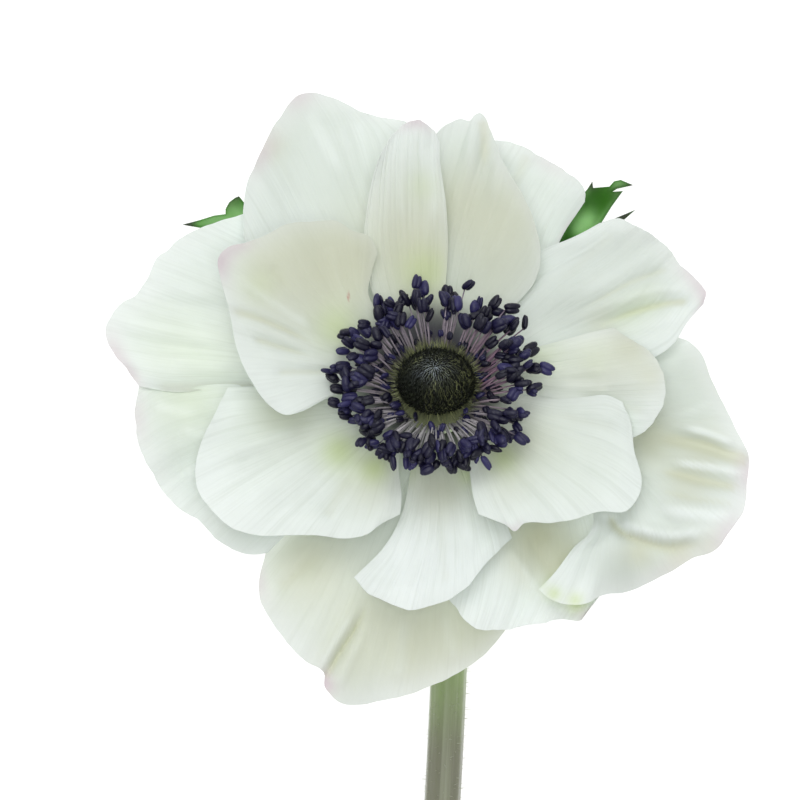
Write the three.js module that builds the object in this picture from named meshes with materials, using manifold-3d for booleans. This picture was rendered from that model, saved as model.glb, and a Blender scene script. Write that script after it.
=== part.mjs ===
// A cut anemone flower lying on its back: a stem with three cut bracts below the bloom,
// fifteen overlapping white tepals, a ring of dark stamens and a dark dome of pistils.
// Millimetres, +Z up. Seen from above, the bloom faces the viewer and the stem runs toward -Y.

import * as THREE from "three";
import { mergeVertices } from "three/addons/utils/BufferGeometryUtils.js";
import Module from "manifold-3d";

const wasm = await Module();
wasm.setup();

// Driving dimensions

const BLOOM_TILT = THREE.MathUtils.degToRad(25); // the bloom's axis leans this far from +Z to +Y
const BLOOM_HEIGHT = 18.4; // height of the bloom's centre, where the stamens stand
const BLOOM_SETBACK = 1.8; // from above, the centre lies this far toward -Y of the anther ring
const BLADE = 0.6; // thickness of tepals and bracts
const GAP = 0.3; // clearance between neighbouring pieces
const LEVEL_COUNT = 7; // layers of tepals on the receptacle
const LEVEL_STEP = 0.9; // spacing of those layers along the bloom's axis
const TOP_LEVEL_DEPTH = 0.7; // depth of the uppermost layer below the bloom's centre
const LEVEL_SPREAD = 0.55; // how much further apart the layers lie away from the centre
const BLOOM_REACH = 40; // radius at which a tepal's cup height is stated
const REFLEX_REACH = 43; // where the lower tepals fall back the most
const REFLEX_DROP = 6; // and how far they fall back there
const SPREAD_START = 7; // radius where the layers begin to part, and the run over which they do
const SPREAD_RUN = 6;
const BASE_HALF_ANGLE = THREE.MathUtils.degToRad(28); // half of a tepal's base, round the axis
const CURL_POWER = 4; // how closely curls keep to the rim
const PLEAT_POWER = 1.5; // how pleats fade toward the base
const FOLD_FADE = 0.6; // the share of a fold's line along which it fades out

const STEM_RADIUS = 2.42;
const STEM_SIDES = 12;
const STEM_NECK = 5; // straight stretch between the receptacle and the bend
const RECEPTACLE_LENGTH = 7;
const RECEPTACLE_TOP_RADIUS = 4.9;
const RECEPTACLE_NECK_RADIUS = 2.92;
const RECEPTACLE_FLARE = 1.5; // power of the curve by which it widens
const BEND_SIDESTEP = 1.2; // how far the bend swings toward +X

const DISC_RADIUS = 5.7; // the disc that the stamens grow from
const DISC_HEIGHT = 1.3;
const DISC_SIDES = 24;
const STAMEN_COUNT = 92;
const STAMEN_REACH_INNER = 7.2; // how far from the axis the anthers are
const STAMEN_REACH_OUTER = 14.2;
const STAMEN_HEIGHT_INNER = 6.7; // how high above the disc's foot they stand
const STAMEN_HEIGHT_OUTER = 4.7;
const STAMEN_HEIGHT_VARIES = 1.8; // spread of the drawn heights
const FILAMENT_RADIUS = 0.3;
const ANTHER_LENGTH = 1.9;
const ANTHER_RADIUS = 0.85;

const DOME_RADIUS = 5.1;
const DOME_HEIGHT = 6.4;
const DOME_RINGS = 11;
const DOME_SIDES = 30;
const DOME_RIDGES = 15; // slanting ridges of packed pistils, and their height as a share of the radius
const DOME_RIDGE_HEIGHT = 0.045;

// Moves the bloom's centre so that the origin is below the middle of the whole flower
const ORIGIN_SHIFT = [1.2, 47.7, 0];

// Steps across and along a tepal

const TEPAL_STEPS_ACROSS = 14;
const TEPAL_STEPS_ALONG = 8;
const RIM_CROWDING = 0.8; // below 1, the steps along lie closer toward the rim
const RIM_HOLD = 2.5; // how closely the rim's own shape keeps to the rim

// Rings along the receptacle, the bend and the lying stem

const RECEPTACLE_RINGS = 6;
const BEND_RINGS = 8;
const LYING_RINGS = 12;

// The tepals, seen from above with the bloom's centre at 0, 0. Points are x and y. Each blade
// is spanned by its base on the receptacle, its two sides and its rim. The sides run outward
// from the base, the first one clockwise of the second, and the rim runs from the end of the
// first side to the end of the second one. azimuth is where the base sits on the receptacle, in
// degrees, and level is the layer, 0 lowest. cup is how far the blade rises toward the viewer at
// BLOOM_REACH. Each curl is [place along the rim from 0 to 1, width, height], each pleat [place
// across, width, height], and each fold [x, y, x, y, slope, softness]: to the left of that line
// the blade turns up with that slope.
const TEPALS = [
  {
    name: "tepal_bottom_outer", azimuth: 265, level: 0, cup: 1.5,
    sideOne: [[-14.1, -13.2], [-20.1, -19.9]],
    rim: [[-22.7, -22.9], [-23.5, -26.5], [-23.1, -29.7], [-20.7, -33.6], [-17.7, -36.8],
      [-14.9, -38.9], [-14.8, -40.6], [-12.4, -42.8], [-8.5, -42.8], [-4.8, -42.0],
      [-1.1, -40.7], [2.5, -39.2], [5.5, -37.1], [7.9, -34.9], [9.3, -33.1]],
    sideTwo: [[4.5, -18.5], [8.5, -29.2]],
    curls: [[0.15, 0.12, 1.4], [0.75, 0.2, -2.1]],
    pleats: [[0.3, 0.05, 0.4], [0.62, 0.06, -0.4], [0.8, 0.06, 0.4]],
    folds: [[-8.4, -29.2, -25.4, -56.5, -0.25, 2]],
  },
  {
    name: "tepal_left_lower", azimuth: 205, level: 1, cup: 3,
    sideOne: [[-24.8, 1.5], [-36.8, 1.2]],
    rim: [[-39.6, -0.5], [-40.1, -4.3], [-39.6, -8.3], [-38.1, -11.6], [-36.1, -14.9],
      [-33.5, -17.5], [-31.5, -18.5], [-29.6, -20.7], [-27.2, -22.3], [-24.1, -23.1],
      [-22.4, -22.8]],
    sideTwo: [[-10.1, -9.2], [-18.1, -18.5]],
    curls: [[0.3, 0.15, 1.7], [0.75, 0.1, -1.1]],
    pleats: [[0.35, 0.05, 0.5], [0.6, 0.06, -0.4]],
    folds: [],
  },
  {
    name: "tepal_bottom_right", azimuth: 298, level: 1, cup: 2,
    sideOne: [[1.0, -14.0], [1.9, -23.9]],
    rim: [[1.5, -28.9], [2.7, -30.1], [3.6, -31.6], [5.6, -32.9], [8.3, -33.1],
      [12.5, -32.4], [16.8, -31.7], [19.2, -31.7], [20.5, -30.1]],
    sideTwo: [[14.0, -10.0], [22.6, -15.5], [24.2, -22.5], [22.4, -27.6]],
    curls: [[0.25, 0.15, 1.1], [0.85, 0.12, -1.1]],
    pleats: [[0.5, 0.05, -0.5]],
    folds: [[9.2, -21.9, 20.0, -37.5, -0.2, 1.5]],
  },
  {
    name: "tepal_left_outer", azimuth: 165, level: 2, cup: 3.4,
    sideOne: [[-14.1, 12.1], [-20.8, 19.5]],
    rim: [[-25.7, 22.4], [-29.5, 21.2], [-34.1, 19.2], [-35.7, 17.6], [-37.3, 16.4],
      [-38.5, 13.9], [-40.0, 11.5], [-42.0, 10.4], [-43.7, 8.1], [-44.0, 5.9],
      [-42.9, 3.6], [-41.2, 1.6], [-39.6, -0.7]],
    sideTwo: [[-15.5, -0.5], [-28.8, -1.0], [-34.8, -1.5]],
    curls: [[0.45, 0.06, 1.7], [0.75, 0.1, -1.1]],
    pleats: [[0.3, 0.05, 0.5], [0.5, 0.05, -0.6], [0.68, 0.05, 0.6], [0.98, 0.09, -1.1]],
    folds: [],
  },
  {
    name: "tepal_right_outer", azimuth: 335, level: 2, cup: 5,
    sideOne: [[12.5, -11.5], [20.8, -17.2], [20.3, -20.2], [18.4, -22.0], [15.6, -25.6]],
    rim: [[13.6, -27.6], [15.1, -28.9], [17.9, -29.7], [20.2, -29.4], [21.4, -28.7],
      [22.9, -28.3], [25.2, -28.0], [30.9, -25.5], [33.9, -23.6], [36.8, -22.5],
      [38.8, -20.1], [40.7, -17.5], [41.3, -13.2], [41.5, -9.9], [40.3, -7.1],
      [38.1, -2.8], [36.5, 0.7], [35.5, 3.5], [33.9, 5.2], [32.0, 5.9]],
    sideTwo: [[15.5, 1.0], [24.5, 3.6]],
    curls: [[0.1, 0.06, 1.7], [0.25, 0.05, -1.7], [0.5, 0.08, 1.7], [0.7, 0.08, -1.1]],
    pleats: [[0.45, 0.04, 0.5], [0.58, 0.04, -0.5], [0.72, 0.04, 0.5]],
    folds: [[37.2, -22.3, 22.3, -17.9, -0.35, 1.5]],
  },
  {
    name: "tepal_top_right", azimuth: 60, level: 2, cup: 0.2,
    sideOne: [[10.0, 8.0], [14.9, 14.1], [16.3, 18.1], [17.5, 20.4], [18.8, 22.3]],
    rim: [[20.0, 24.1], [19.9, 25.7], [18.1, 27.7],
      [15.5, 29.3], [13.2, 30.7], [10.9, 31.8], [9.2, 32.3], [7.6, 32.2],
      [5.6, 31.6], [3.4, 30.9], [1.2, 29.8]],
    sideTwo: [[-1.2, 14.0], [-1.8, 21.5], [-1.0, 26.8]],
    curls: [[0.1, 0.1, 1.7], [0.75, 0.2, -2.2]],
    pleats: [[0.3, 0.06, 0.4]],
    folds: [],
  },
  {
    name: "tepal_bottom_inner", azimuth: 270, level: 2, cup: 6,
    sideOne: [[-3.0, -10.0], [-4.5, -17.5], [-6.8, -21.9]],
    rim: [[-10.9, -26.1], [-9.0, -28.1], [-5.7, -29.7], [-2.8, -30.4], [-0.5, -29.7],
      [1.9, -28.9], [4.1, -27.3], [6.1, -24.9], [7.9, -22.9], [10.1, -20.9]],
    sideTwo: [[4.0, -9.0], [8.5, -17.0]],
    curls: [[0.05, 0.12, 1.1], [0.55, 0.2, 0.7]],
    pleats: [[0.35, 0.06, 0.4], [0.6, 0.05, -0.3]],
    folds: [],
  },
  {
    name: "tepal_top_left", azimuth: 120, level: 3, cup: 0.4,
    sideOne: [[-1.6, 12.0], [-1.1, 27.5], [-1.9, 32.8]],
    rim: [[-4.1, 34.8], [-9.5, 36.0], [-14.8, 38.4], [-18.1, 38.5], [-20.8, 35.7],
      [-23.2, 31.2], [-25.1, 26.8], [-25.7, 23.5], [-25.7, 19.5]],
    sideTwo: [[-12.0, 6.0], [-21.5, 12.1], [-24.4, 16.0]],
    curls: [[0.1, 0.1, 1.4], [0.4, 0.12, -0.8], [0.95, 0.28, 4.2]],
    pleats: [[0.3, 0.05, 0.4], [0.55, 0.05, -0.5], [0.75, 0.05, 0.4]],
    folds: [],
  },
  {
    name: "tepal_right_upper", azimuth: 25, level: 3, cup: 5,
    sideOne: [[16.5, 1.2], [23.2, 1.8], [28.5, 2.9], [31.5, 4.8], [33.6, 7.9]],
    rim: [[35.7, 10.3], [35.9, 12.0], [34.3, 14.0], [32.8, 15.3],
      [31.2, 17.5], [29.3, 19.2], [26.7, 20.7], [24.3, 21.7], [21.9, 21.1]],
    sideTwo: [[9.2, 12.1], [11.9, 15.9], [14.0, 17.4], [18.5, 19.3]],
    curls: [[0.1, 0.12, 1.1], [0.7, 0.15, 1.7]],
    pleats: [[0.48, 0.06, 0.5], [0.7, 0.06, -0.4]],
    folds: [[14.9, 4.1, 55.0, 18.4, 0.26, 1.5]],
  },
  {
    name: "tepal_left_inner_lower", azimuth: 215, level: 3, cup: 7,
    sideOne: [[-18.1, -2.0], [-24.8, -0.9]],
    rim: [[-27.7, -0.9], [-28.9, -3.2], [-30.9, -7.5], [-31.9, -10.8], [-31.7, -14.3],
      [-29.9, -16.9], [-27.5, -19.3], [-24.1, -20.4], [-19.5, -20.5], [-15.7, -20.5],
      [-12.1, -20.9], [-9.2, -20.4], [-7.5, -19.1], [-4.8, -17.7]],
    sideTwo: [[-4.8, -10.0], [-4.6, -15.5]],
    curls: [[0.1, 0.08, 1.1], [0.45, 0.08, 1.4], [0.7, 0.08, -0.7], [0.9, 0.08, 1.4]],
    pleats: [[0.25, 0.05, 0.5], [0.45, 0.05, -0.4], [0.7, 0.05, 0.4]],
    folds: [],
  },
  {
    name: "tepal_top_inner", azimuth: 70, level: 4, cup: 9,
    sideOne: [[7.5, 6.5], [11.2, 10.8], [12.9, 12.8]],
    rim: [[13.9, 15.1], [14.0, 17.5], [13.5, 19.9], [12.3, 23.5], [10.4, 26.9],
      [8.9, 29.6], [8.0, 31.8], [7.3, 33.7], [6.7, 35.2], [5.9, 36.0], [5.2, 35.6],
      [4.5, 34.8], [3.3, 35.1], [1.9, 34.7], [0.4, 33.5], [-1.2, 31.4]],
    sideTwo: [[-2.0, 11.0], [-3.2, 18.8], [-2.6, 25.6]],
    curls: [[0.15, 0.2, 2.0], [0.75, 0.25, -4.0]],
    pleats: [[0.35, 0.06, 0.4], [0.55, 0.06, -0.5], [0.7, 0.06, 0.4]],
    folds: [],
  },
  {
    name: "tepal_right_inner", azimuth: 5, level: 4, cup: 8,
    sideOne: [[10.0, -4.0], [16.5, -6.5], [21.9, -7.6]],
    rim: [[25.6, -7.9], [27.9, -6.5], [29.6, -4.3], [30.5, -1.5], [30.1, 1.1],
      [29.1, 3.2], [27.2, 4.8], [25.2, 6.0], [23.6, 7.1]],
    sideTwo: [[9.0, 3.6], [14.5, 4.8], [20.8, 6.5]],
    curls: [[0.5, 0.3, 2.8]],
    pleats: [[0.4, 0.07, -0.4], [0.65, 0.06, 0.4]],
    folds: [],
  },
  {
    name: "tepal_top_centre", azimuth: 96, level: 5, cup: 11,
    sideOne: [[1.2, 10.0], [1.6, 17.5], [1.5, 21.5], [1.3, 24.1], [0.9, 26.8], [0.5, 29.5]],
    rim: [[0.5, 31.9], [-0.3, 33.5], [-2.6, 34.9], [-4.9, 33.8],
      [-6.5, 31.9], [-7.6, 29.8]],
    sideTwo: [[-7.4, 9.0], [-9.6, 17.0], [-9.3, 22.5], [-8.5, 27.0]],
    curls: [[0.1, 0.2, 0.8], [0.55, 0.15, -0.7]],
    pleats: [[0.3, 0.08, 0.5], [0.6, 0.08, -0.4]],
    folds: [],
  },
  {
    name: "tepal_right_lower", azimuth: 325, level: 5, cup: 7.5,
    sideOne: [[3.6, -7.5], [4.5, -12.5], [4.9, -15.2]],
    rim: [[5.6, -17.7], [7.5, -18.4], [9.2, -19.1], [10.4, -19.9], [11.7, -18.9],
      [15.2, -18.8], [18.5, -18.3], [21.9, -17.3], [25.1, -17.3], [27.1, -14.8],
      [27.1, -12.1], [26.3, -9.2], [25.9, -5.9], [24.8, -2.8]],
    sideTwo: [[9.0, -1.9], [15.9, -2.4], [19.2, -2.2], [22.7, -1.9]],
    curls: [[0.15, 0.06, 1.4], [0.45, 0.08, -0.6], [0.64, 0.1, -1.6], [0.95, 0.1, 1.4]],
    pleats: [[0.35, 0.05, 0.4], [0.6, 0.05, -0.4], [0.8, 0.05, 0.4]],
    folds: [],
  },
  {
    name: "tepal_left_inner", azimuth: 160, level: 6, cup: 11,
    sideOne: [[-6.6, 7.6], [-9.0, 11.5], [-8.6, 14.5]],
    rim: [[-7.8, 17.2], [-8.8, 19.2], [-11.2, 20.1], [-13.2, 21.3], [-16.8, 21.3],
      [-19.9, 20.9], [-23.2, 19.2], [-25.5, 18.4], [-27.6, 17.9], [-28.9, 16.4],
      [-28.8, 14.1], [-27.7, 10.1], [-26.9, 6.1], [-26.0, 2.8], [-24.5, -0.1],
      [-22.5, -2.9], [-20.0, -4.5], [-17.7, -4.0]],
    sideTwo: [[-8.0, -0.8], [-13.5, -1.9]],
    curls: [[0.1, 0.08, 1.1], [0.45, 0.06, 1.7], [0.85, 0.1, 1.1]],
    pleats: [[0.3, 0.05, 0.5], [0.45, 0.05, -0.5], [0.6, 0.05, 0.5]],
    folds: [],
  },
];

// The bracts' cut outlines, seen from above, anticlockwise. rise is the height at the stem, and
// slope how fast the leaf climbs or sinks away from it.
const BRACTS = [
  {
    name: "bract_left", rise: 7.9, slope: -0.19, arch: 0.8,
    outline: [[-3.0, -6.6], [-3.2, -4.0], [-6.5, 1.5], [-8.6, 6.0], [-7.0, 9.8],
      [-10.8, 9.4], [-13.0, 13.4], [-10.6, 17.6], [-15.2, 15.8], [-16.6, 18.2],
      [-15.8, 22.6], [-19.2, 19.6], [-20.8, 20.8], [-20.2, 25.0], [-23.6, 22.8],
      [-25.6, 23.8], [-26.4, 24.8], [-26.9, 24.6], [-27.7, 24.0], [-28.2, 23.1], [-28.2, 22.4],
      [-29.8, 22.2], [-31.7, 21.6], [-34.0, 21.0], [-31.8, 20.6], [-30.1, 20.4], [-27.4, 17.6],
      [-30.6, 16.4], [-25.6, 14.4], [-21.0, 10.8], [-14.4, 5.8], [-20.2, 7.6],
      [-25.6, 10.4], [-31.6, 10.8], [-27.2, 8.2], [-29.2, 5.4], [-23.6, 5.4],
      [-24.6, 2.4], [-18.2, 2.8], [-12.0, -0.8], [-6.4, -5.4]],
  },
  {
    name: "bract_right", rise: 7.9, slope: -0.19, arch: 0.8,
    outline: [[3.2, -4.0], [5.6, 1.6], [7.4, 7.0], [5.8, 10.6], [9.0, 10.2],
      [11.0, 14.6], [10.0, 18.6], [13.4, 17.4], [15.6, 20.6], [15.6, 24.2],
      [18.4, 23.4], [20.3, 25.7], [21.0, 26.8], [21.1, 25.9], [23.3, 26.1],
      [23.9, 26.8], [24.8, 27.0], [26.5, 26.3], [24.3, 25.8], [23.7, 25.4], [25.1, 25.5],
      [23.5, 23.3], [22.2, 21.2], [19.0, 17.4], [13.4, 9.8], [18.0, 12.8],
      [21.6, 16.8], [23.5, 21.6], [26.8, 23.0], [25.2, 21.6], [24.6, 20.4], [27.6, 19.2],
      [24.2, 17.2], [21.6, 13.4], [25.0, 13.0], [20.2, 11.0], [14.0, 6.0],
      [19.4, 8.0], [24.0, 10.0], [29.4, 10.6], [25.2, 7.6], [26.8, 5.0],
      [21.6, 5.2], [15.6, 2.0], [17.2, -0.8], [11.0, -1.2], [6.2, -5.4], [3.0, -6.6]],
  },
  {
    name: "bract_lower", rise: 7.9, slope: 0.12, arch: 1.2,
    outline: [[-2.9, -8.2], [-1.2, -9.9], [-0.8, -13.6], [1.8, -16.2], [-1.2, -17.8],
      [-1.4, -22.0], [1.4, -25.0], [-2.2, -25.6], [-2.8, -32.4], [-5.2, -28.6],
      [-5.8, -20.6], [-7.0, -26.0], [-8.8, -35.0], [-10.4, -29.4], [-12.6, -30.6],
      [-11.2, -25.8], [-9.0, -18.4], [-12.4, -21.8], [-14.8, -26.2], [-18.6, -28.4],
      [-17.2, -23.4], [-20.2, -21.8], [-15.8, -19.4], [-12.8, -15.2], [-15.6, -12.8],
      [-10.4, -12.0], [-6.6, -8.4], [-3.6, -6.6]],
  },
];

// The stem's route after its bend, as x and y: it lies on the surface and ends in a plain cut
const STEM_ROUTE = [[2.0, -30], [1.7, -39.5], [0.9, -56], [-0.6, -80], [-2.2, -105], [-3.4, -134]];

// Finishes

const WHITE_TEPAL = new THREE.MeshStandardMaterial({ color: 0xe9efe6, roughness: 0.75, metalness: 0 });
const GREEN_LEAF = new THREE.MeshStandardMaterial({ color: 0x3f7a2c, roughness: 0.6, metalness: 0 });
const GREEN_STEM = new THREE.MeshStandardMaterial({ color: 0x8c9f78, roughness: 0.65, metalness: 0 });
const DARK_ANTHER = new THREE.MeshStandardMaterial({ color: 0x211f3d, roughness: 0.6, metalness: 0 });
const DARK_DOME = new THREE.MeshStandardMaterial({ color: 0x1c261c, roughness: 0.7, metalness: 0 });

// Shared helpers

// A repeatable stream of numbers from 0 to 1
function seededDraws(seed) {
  let state = seed;
  return () => {
    state = (state * 1664525 + 1013904223) % 4294967296;
    return state / 4294967296;
  };
}

// A point of the bloom's own frame, whose Z is the bloom's axis, in the part's frame
function fromBloom(x, y, z) {
  const sine = Math.sin(BLOOM_TILT);
  const cosine = Math.cos(BLOOM_TILT);
  const place = y * cosine + z * sine - BLOOM_SETBACK;
  return new THREE.Vector3(x, place, BLOOM_HEIGHT - y * sine + z * cosine);
}

function bump(value, centre, width) {
  return Math.exp(-(((value - centre) / width) ** 2));
}

function smoothCurve(points) {
  const places = points.map(([x, y]) => new THREE.Vector3(x, y, 0));
  return new THREE.CatmullRomCurve3(places, false, "centripetal");
}

function geometryFrom(positions, triangles) {
  const geometry = new THREE.BufferGeometry();
  geometry.setAttribute("position", new THREE.Float32BufferAttribute(positions, 3));
  geometry.setIndex(triangles);
  return geometry;
}

function namedMesh(name, geometry, material) {
  const mesh = new THREE.Mesh(geometry, material);
  mesh.name = name;
  return mesh;
}

// Tepals

// Height of the smooth dish that the layers of tepals follow
function dishHeight(x, y) {
  const reflex = y < 0 ? REFLEX_DROP * (y / REFLEX_REACH) ** 2 : 0;
  return BLOOM_HEIGHT - (y + BLOOM_SETBACK) * Math.tan(BLOOM_TILT) - reflex;
}

function levelDepth(level) {
  return TOP_LEVEL_DEPTH + (LEVEL_COUNT - 1 - level) * LEVEL_STEP;
}

function receptacleRadius(depth) {
  const widening = (1 - depth / RECEPTACLE_LENGTH) ** RECEPTACLE_FLARE;
  return RECEPTACLE_NECK_RADIUS + (RECEPTACLE_TOP_RADIUS - RECEPTACLE_NECK_RADIUS) * widening;
}

// A fold fades out toward the end of its line
function foldHeight([x0, y0, x1, y1, slope, softness], x, y) {
  const length = Math.hypot(x1 - x0, y1 - y0);
  const left = ((x1 - x0) * (y - y0) - (y1 - y0) * (x - x0)) / length;
  const onward = ((x1 - x0) * (x - x0) + (y1 - y0) * (y - y0)) / length ** 2;
  const fade = THREE.MathUtils.smoothstep(1 - onward, 0, FOLD_FADE);
  return slope * fade * 0.5 * (left + Math.hypot(left, softness));
}

function tepalHeight(tepal, x, y, across, along) {
  const reach = Math.hypot(x, y);
  const spread = 1 - Math.exp(-Math.max(reach - SPREAD_START, 0) / SPREAD_RUN);
  let height = dishHeight(x, y) - levelDepth(tepal.level) / Math.cos(BLOOM_TILT);
  height += tepal.level * LEVEL_SPREAD * spread;
  height += tepal.cup * (reach / BLOOM_REACH) ** 2;
  for (const [place, width, rise] of tepal.curls) {
    height += rise * bump(across, place, width) * along ** CURL_POWER;
  }
  for (const [place, width, rise] of tepal.pleats) {
    height += rise * bump(across, place, width) * along ** PLEAT_POWER;
  }
  for (const fold of tepal.folds) {
    height += foldHeight(fold, x, y) * along;
  }
  return height;
}

// The middle surface of a tepal, blended from its four edges
function tepalSurface(tepal) {
  const depth = levelDepth(tepal.level);
  const radius = receptacleRadius(depth) + GAP + BLADE / 2;
  const azimuth = THREE.MathUtils.degToRad(tepal.azimuth);
  const basePoint = (across) => {
    const angle = azimuth + BASE_HALF_ANGLE * (2 * across - 1);
    return fromBloom(radius * Math.cos(angle), radius * Math.sin(angle), -depth);
  };
  const baseOne = basePoint(0);
  const baseTwo = basePoint(1);
  const rimOne = tepal.rim[0];
  const rimTwo = tepal.rim[tepal.rim.length - 1];
  const sideOne = smoothCurve([[baseOne.x, baseOne.y], ...tepal.sideOne, rimOne]);
  const sideTwo = smoothCurve([[baseTwo.x, baseTwo.y], ...tepal.sideTwo, rimTwo]);
  const rim = smoothCurve(tepal.rim);
  return (across, along) => {
    const base = basePoint(across);
    const one = sideOne.getPointAt(along);
    const two = sideTwo.getPointAt(along);
    const edge = rim.getPointAt(across);
    const outer = along ** RIM_HOLD;
    const inner = 1 - outer;
    const blend = (axis, k) => (1 - across) * one[axis] + across * two[axis]
      + inner * base[axis] + outer * edge[axis]
      - (1 - across) * (inner * baseOne[axis] + outer * rimOne[k])
      - across * (inner * baseTwo[axis] + outer * rimTwo[k]);
    const x = blend("x", 0);
    const y = blend("y", 1);
    return new THREE.Vector3(x, y, tepalHeight(tepal, x, y, across, along));
  };
}

// A closed blade of even thickness round a middle surface. Both faces are split alike, and the
// underside is flattened where it would pass below the surface that the flower lies on.
function bladeGeometry(surface, stepsAcross, stepsAlong) {
  const nudge = 1e-3;
  const upper = [];
  const lower = [];
  for (let j = 0; j <= stepsAlong; j += 1) {
    for (let i = 0; i <= stepsAcross; i += 1) {
      const across = i / stepsAcross;
      const along = (j / stepsAlong) ** RIM_CROWDING;
      const acrossBack = Math.max(across - nudge, 0);
      const acrossOn = Math.min(across + nudge, 1);
      const alongBack = Math.max(along - nudge, 0);
      const alongOn = Math.min(along + nudge, 1);
      const outward = surface(across, alongOn).sub(surface(across, alongBack));
      const sideways = surface(acrossOn, along).sub(surface(acrossBack, along));
      const normal = outward.cross(sideways).normalize();
      const middle = surface(across, along);
      const top = middle.clone().addScaledVector(normal, BLADE / 2);
      const bottom = middle.clone().addScaledVector(normal, -BLADE / 2);
      bottom.z = Math.max(bottom.z, 0);
      top.z = Math.max(top.z, BLADE);
      upper.push(top.x, top.y, top.z);
      lower.push(bottom.x, bottom.y, bottom.z);
    }
  }
  const count = upper.length / 3;
  const row = stepsAcross + 1;
  const triangles = [];
  for (let j = 0; j < stepsAlong; j += 1) {
    for (let i = 0; i < stepsAcross; i += 1) {
      const a = j * row + i;
      const b = a + row;
      const c = b + 1;
      const d = a + 1;
      triangles.push(a, b, c, a, c, d);
      triangles.push(count + a, count + c, count + b, count + a, count + d, count + c);
    }
  }
  const border = [];
  for (let i = 0; i < stepsAcross; i += 1) border.push(i);
  for (let j = 0; j < stepsAlong; j += 1) border.push(j * row + stepsAcross);
  for (let i = stepsAcross; i > 0; i -= 1) border.push(stepsAlong * row + i);
  for (let j = stepsAlong; j > 0; j -= 1) border.push(j * row);
  border.forEach((here, k) => {
    const next = border[(k + 1) % border.length];
    triangles.push(here, next, count + next, here, count + next, count + here);
  });
  return geometryFrom([...upper, ...lower], triangles);
}

function makeTepal(tepal) {
  const geometry = bladeGeometry(tepalSurface(tepal), TEPAL_STEPS_ACROSS, TEPAL_STEPS_ALONG);
  return namedMesh(tepal.name, geometry, WHITE_TEPAL);
}

// Bracts

function makeBract(bract) {
  const shape = new THREE.Shape(bract.outline.map(([x, y]) => new THREE.Vector2(x, y)));
  const plate = new THREE.ExtrudeGeometry(shape, { depth: BLADE, bevelEnabled: false });
  plate.deleteAttribute("normal");
  plate.deleteAttribute("uv");
  const geometry = mergeVertices(plate, 1e-4);
  const places = geometry.getAttribute("position");
  const root = fromBloom(0, 0, -RECEPTACLE_LENGTH - STEM_NECK);
  for (let k = 0; k < places.count; k += 1) {
    const distance = Math.hypot(places.getX(k) - root.x, places.getY(k) - root.y);
    const arch = bract.arch * Math.sin(Math.PI * Math.min(distance / BLOOM_REACH, 1));
    const underside = Math.max(bract.rise + bract.slope * distance + arch, 0);
    places.setZ(k, places.getZ(k) + underside);
  }
  return namedMesh(bract.name, geometry, GREEN_LEAF);
}

// Stem and receptacle

function makeStem() {
  return namedMesh("stem", sweptTube(stemRings()), GREEN_STEM);
}

// Rings along the stem: centre, direction and radius, from the receptacle's top to the cut end
function stemRings() {
  const rings = [];
  const back = fromBloom(0, 0, -1).sub(fromBloom(0, 0, 0));
  for (let k = 0; k <= RECEPTACLE_RINGS; k += 1) {
    const depth = (RECEPTACLE_LENGTH * k) / RECEPTACLE_RINGS;
    rings.push({ centre: fromBloom(0, 0, -depth), direction: back, radius: receptacleRadius(depth) });
  }
  const neckEnd = fromBloom(0, 0, -RECEPTACLE_LENGTH - STEM_NECK);
  const turn = Math.PI / 2 - BLOOM_TILT;
  const floor = STEM_RADIUS * Math.cos(Math.PI / STEM_SIDES);
  const bendRadius = (neckEnd.z - floor) / (1 - Math.cos(turn));
  const bendEnd = neckEnd.y - bendRadius * Math.sin(turn);
  const lieStart = new THREE.Vector3(BEND_SIDESTEP, bendEnd, floor);
  for (let k = 0; k <= BEND_RINGS; k += 1) {
    const share = k / BEND_RINGS;
    const angle = turn * (1 - share);
    const y = bendEnd + bendRadius * Math.sin(angle);
    const z = floor + bendRadius * (1 - Math.cos(angle));
    const direction = new THREE.Vector3(0, -Math.cos(angle), -Math.sin(angle));
    const lean = BEND_SIDESTEP * share ** 2;
    rings.push({ centre: new THREE.Vector3(lean, y, z), direction, radius: STEM_RADIUS });
  }
  const lying = new THREE.CatmullRomCurve3([
    lieStart, ...STEM_ROUTE.map(([x, y]) => new THREE.Vector3(x, y, floor)),
  ], false, "centripetal");
  for (let k = 1; k <= LYING_RINGS; k += 1) {
    const place = lying.getPointAt(k / LYING_RINGS);
    const direction = lying.getTangentAt(k / LYING_RINGS);
    rings.push({ centre: place, direction, radius: STEM_RADIUS });
  }
  return rings;
}

// A closed tube through rings of STEM_SIDES corners
function sweptTube(rings) {
  const positions = [];
  const triangles = [];
  for (const { centre, direction, radius } of rings) {
    const right = new THREE.Vector3(1, 0, 0).cross(direction).cross(direction).negate().normalize();
    const up = new THREE.Vector3().crossVectors(direction, right).normalize();
    for (let k = 0; k < STEM_SIDES; k += 1) {
      const angle = (2 * Math.PI * (k + 0.5)) / STEM_SIDES;
      const corner = centre.clone();
      corner.addScaledVector(right, radius * Math.cos(angle));
      corner.addScaledVector(up, radius * Math.sin(angle));
      positions.push(corner.x, corner.y, corner.z);
    }
  }
  for (let j = 0; j + 1 < rings.length; j += 1) {
    for (let k = 0; k < STEM_SIDES; k += 1) {
      const a = j * STEM_SIDES + k;
      const b = j * STEM_SIDES + ((k + 1) % STEM_SIDES);
      triangles.push(a, b, b + STEM_SIDES, a, b + STEM_SIDES, a + STEM_SIDES);
    }
  }
  const last = (rings.length - 1) * STEM_SIDES;
  for (let k = 1; k + 1 < STEM_SIDES; k += 1) {
    triangles.push(0, k + 1, k);
    triangles.push(last, last + k, last + k + 1);
  }
  return geometryFrom(positions, triangles);
}

// Stamens

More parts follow.
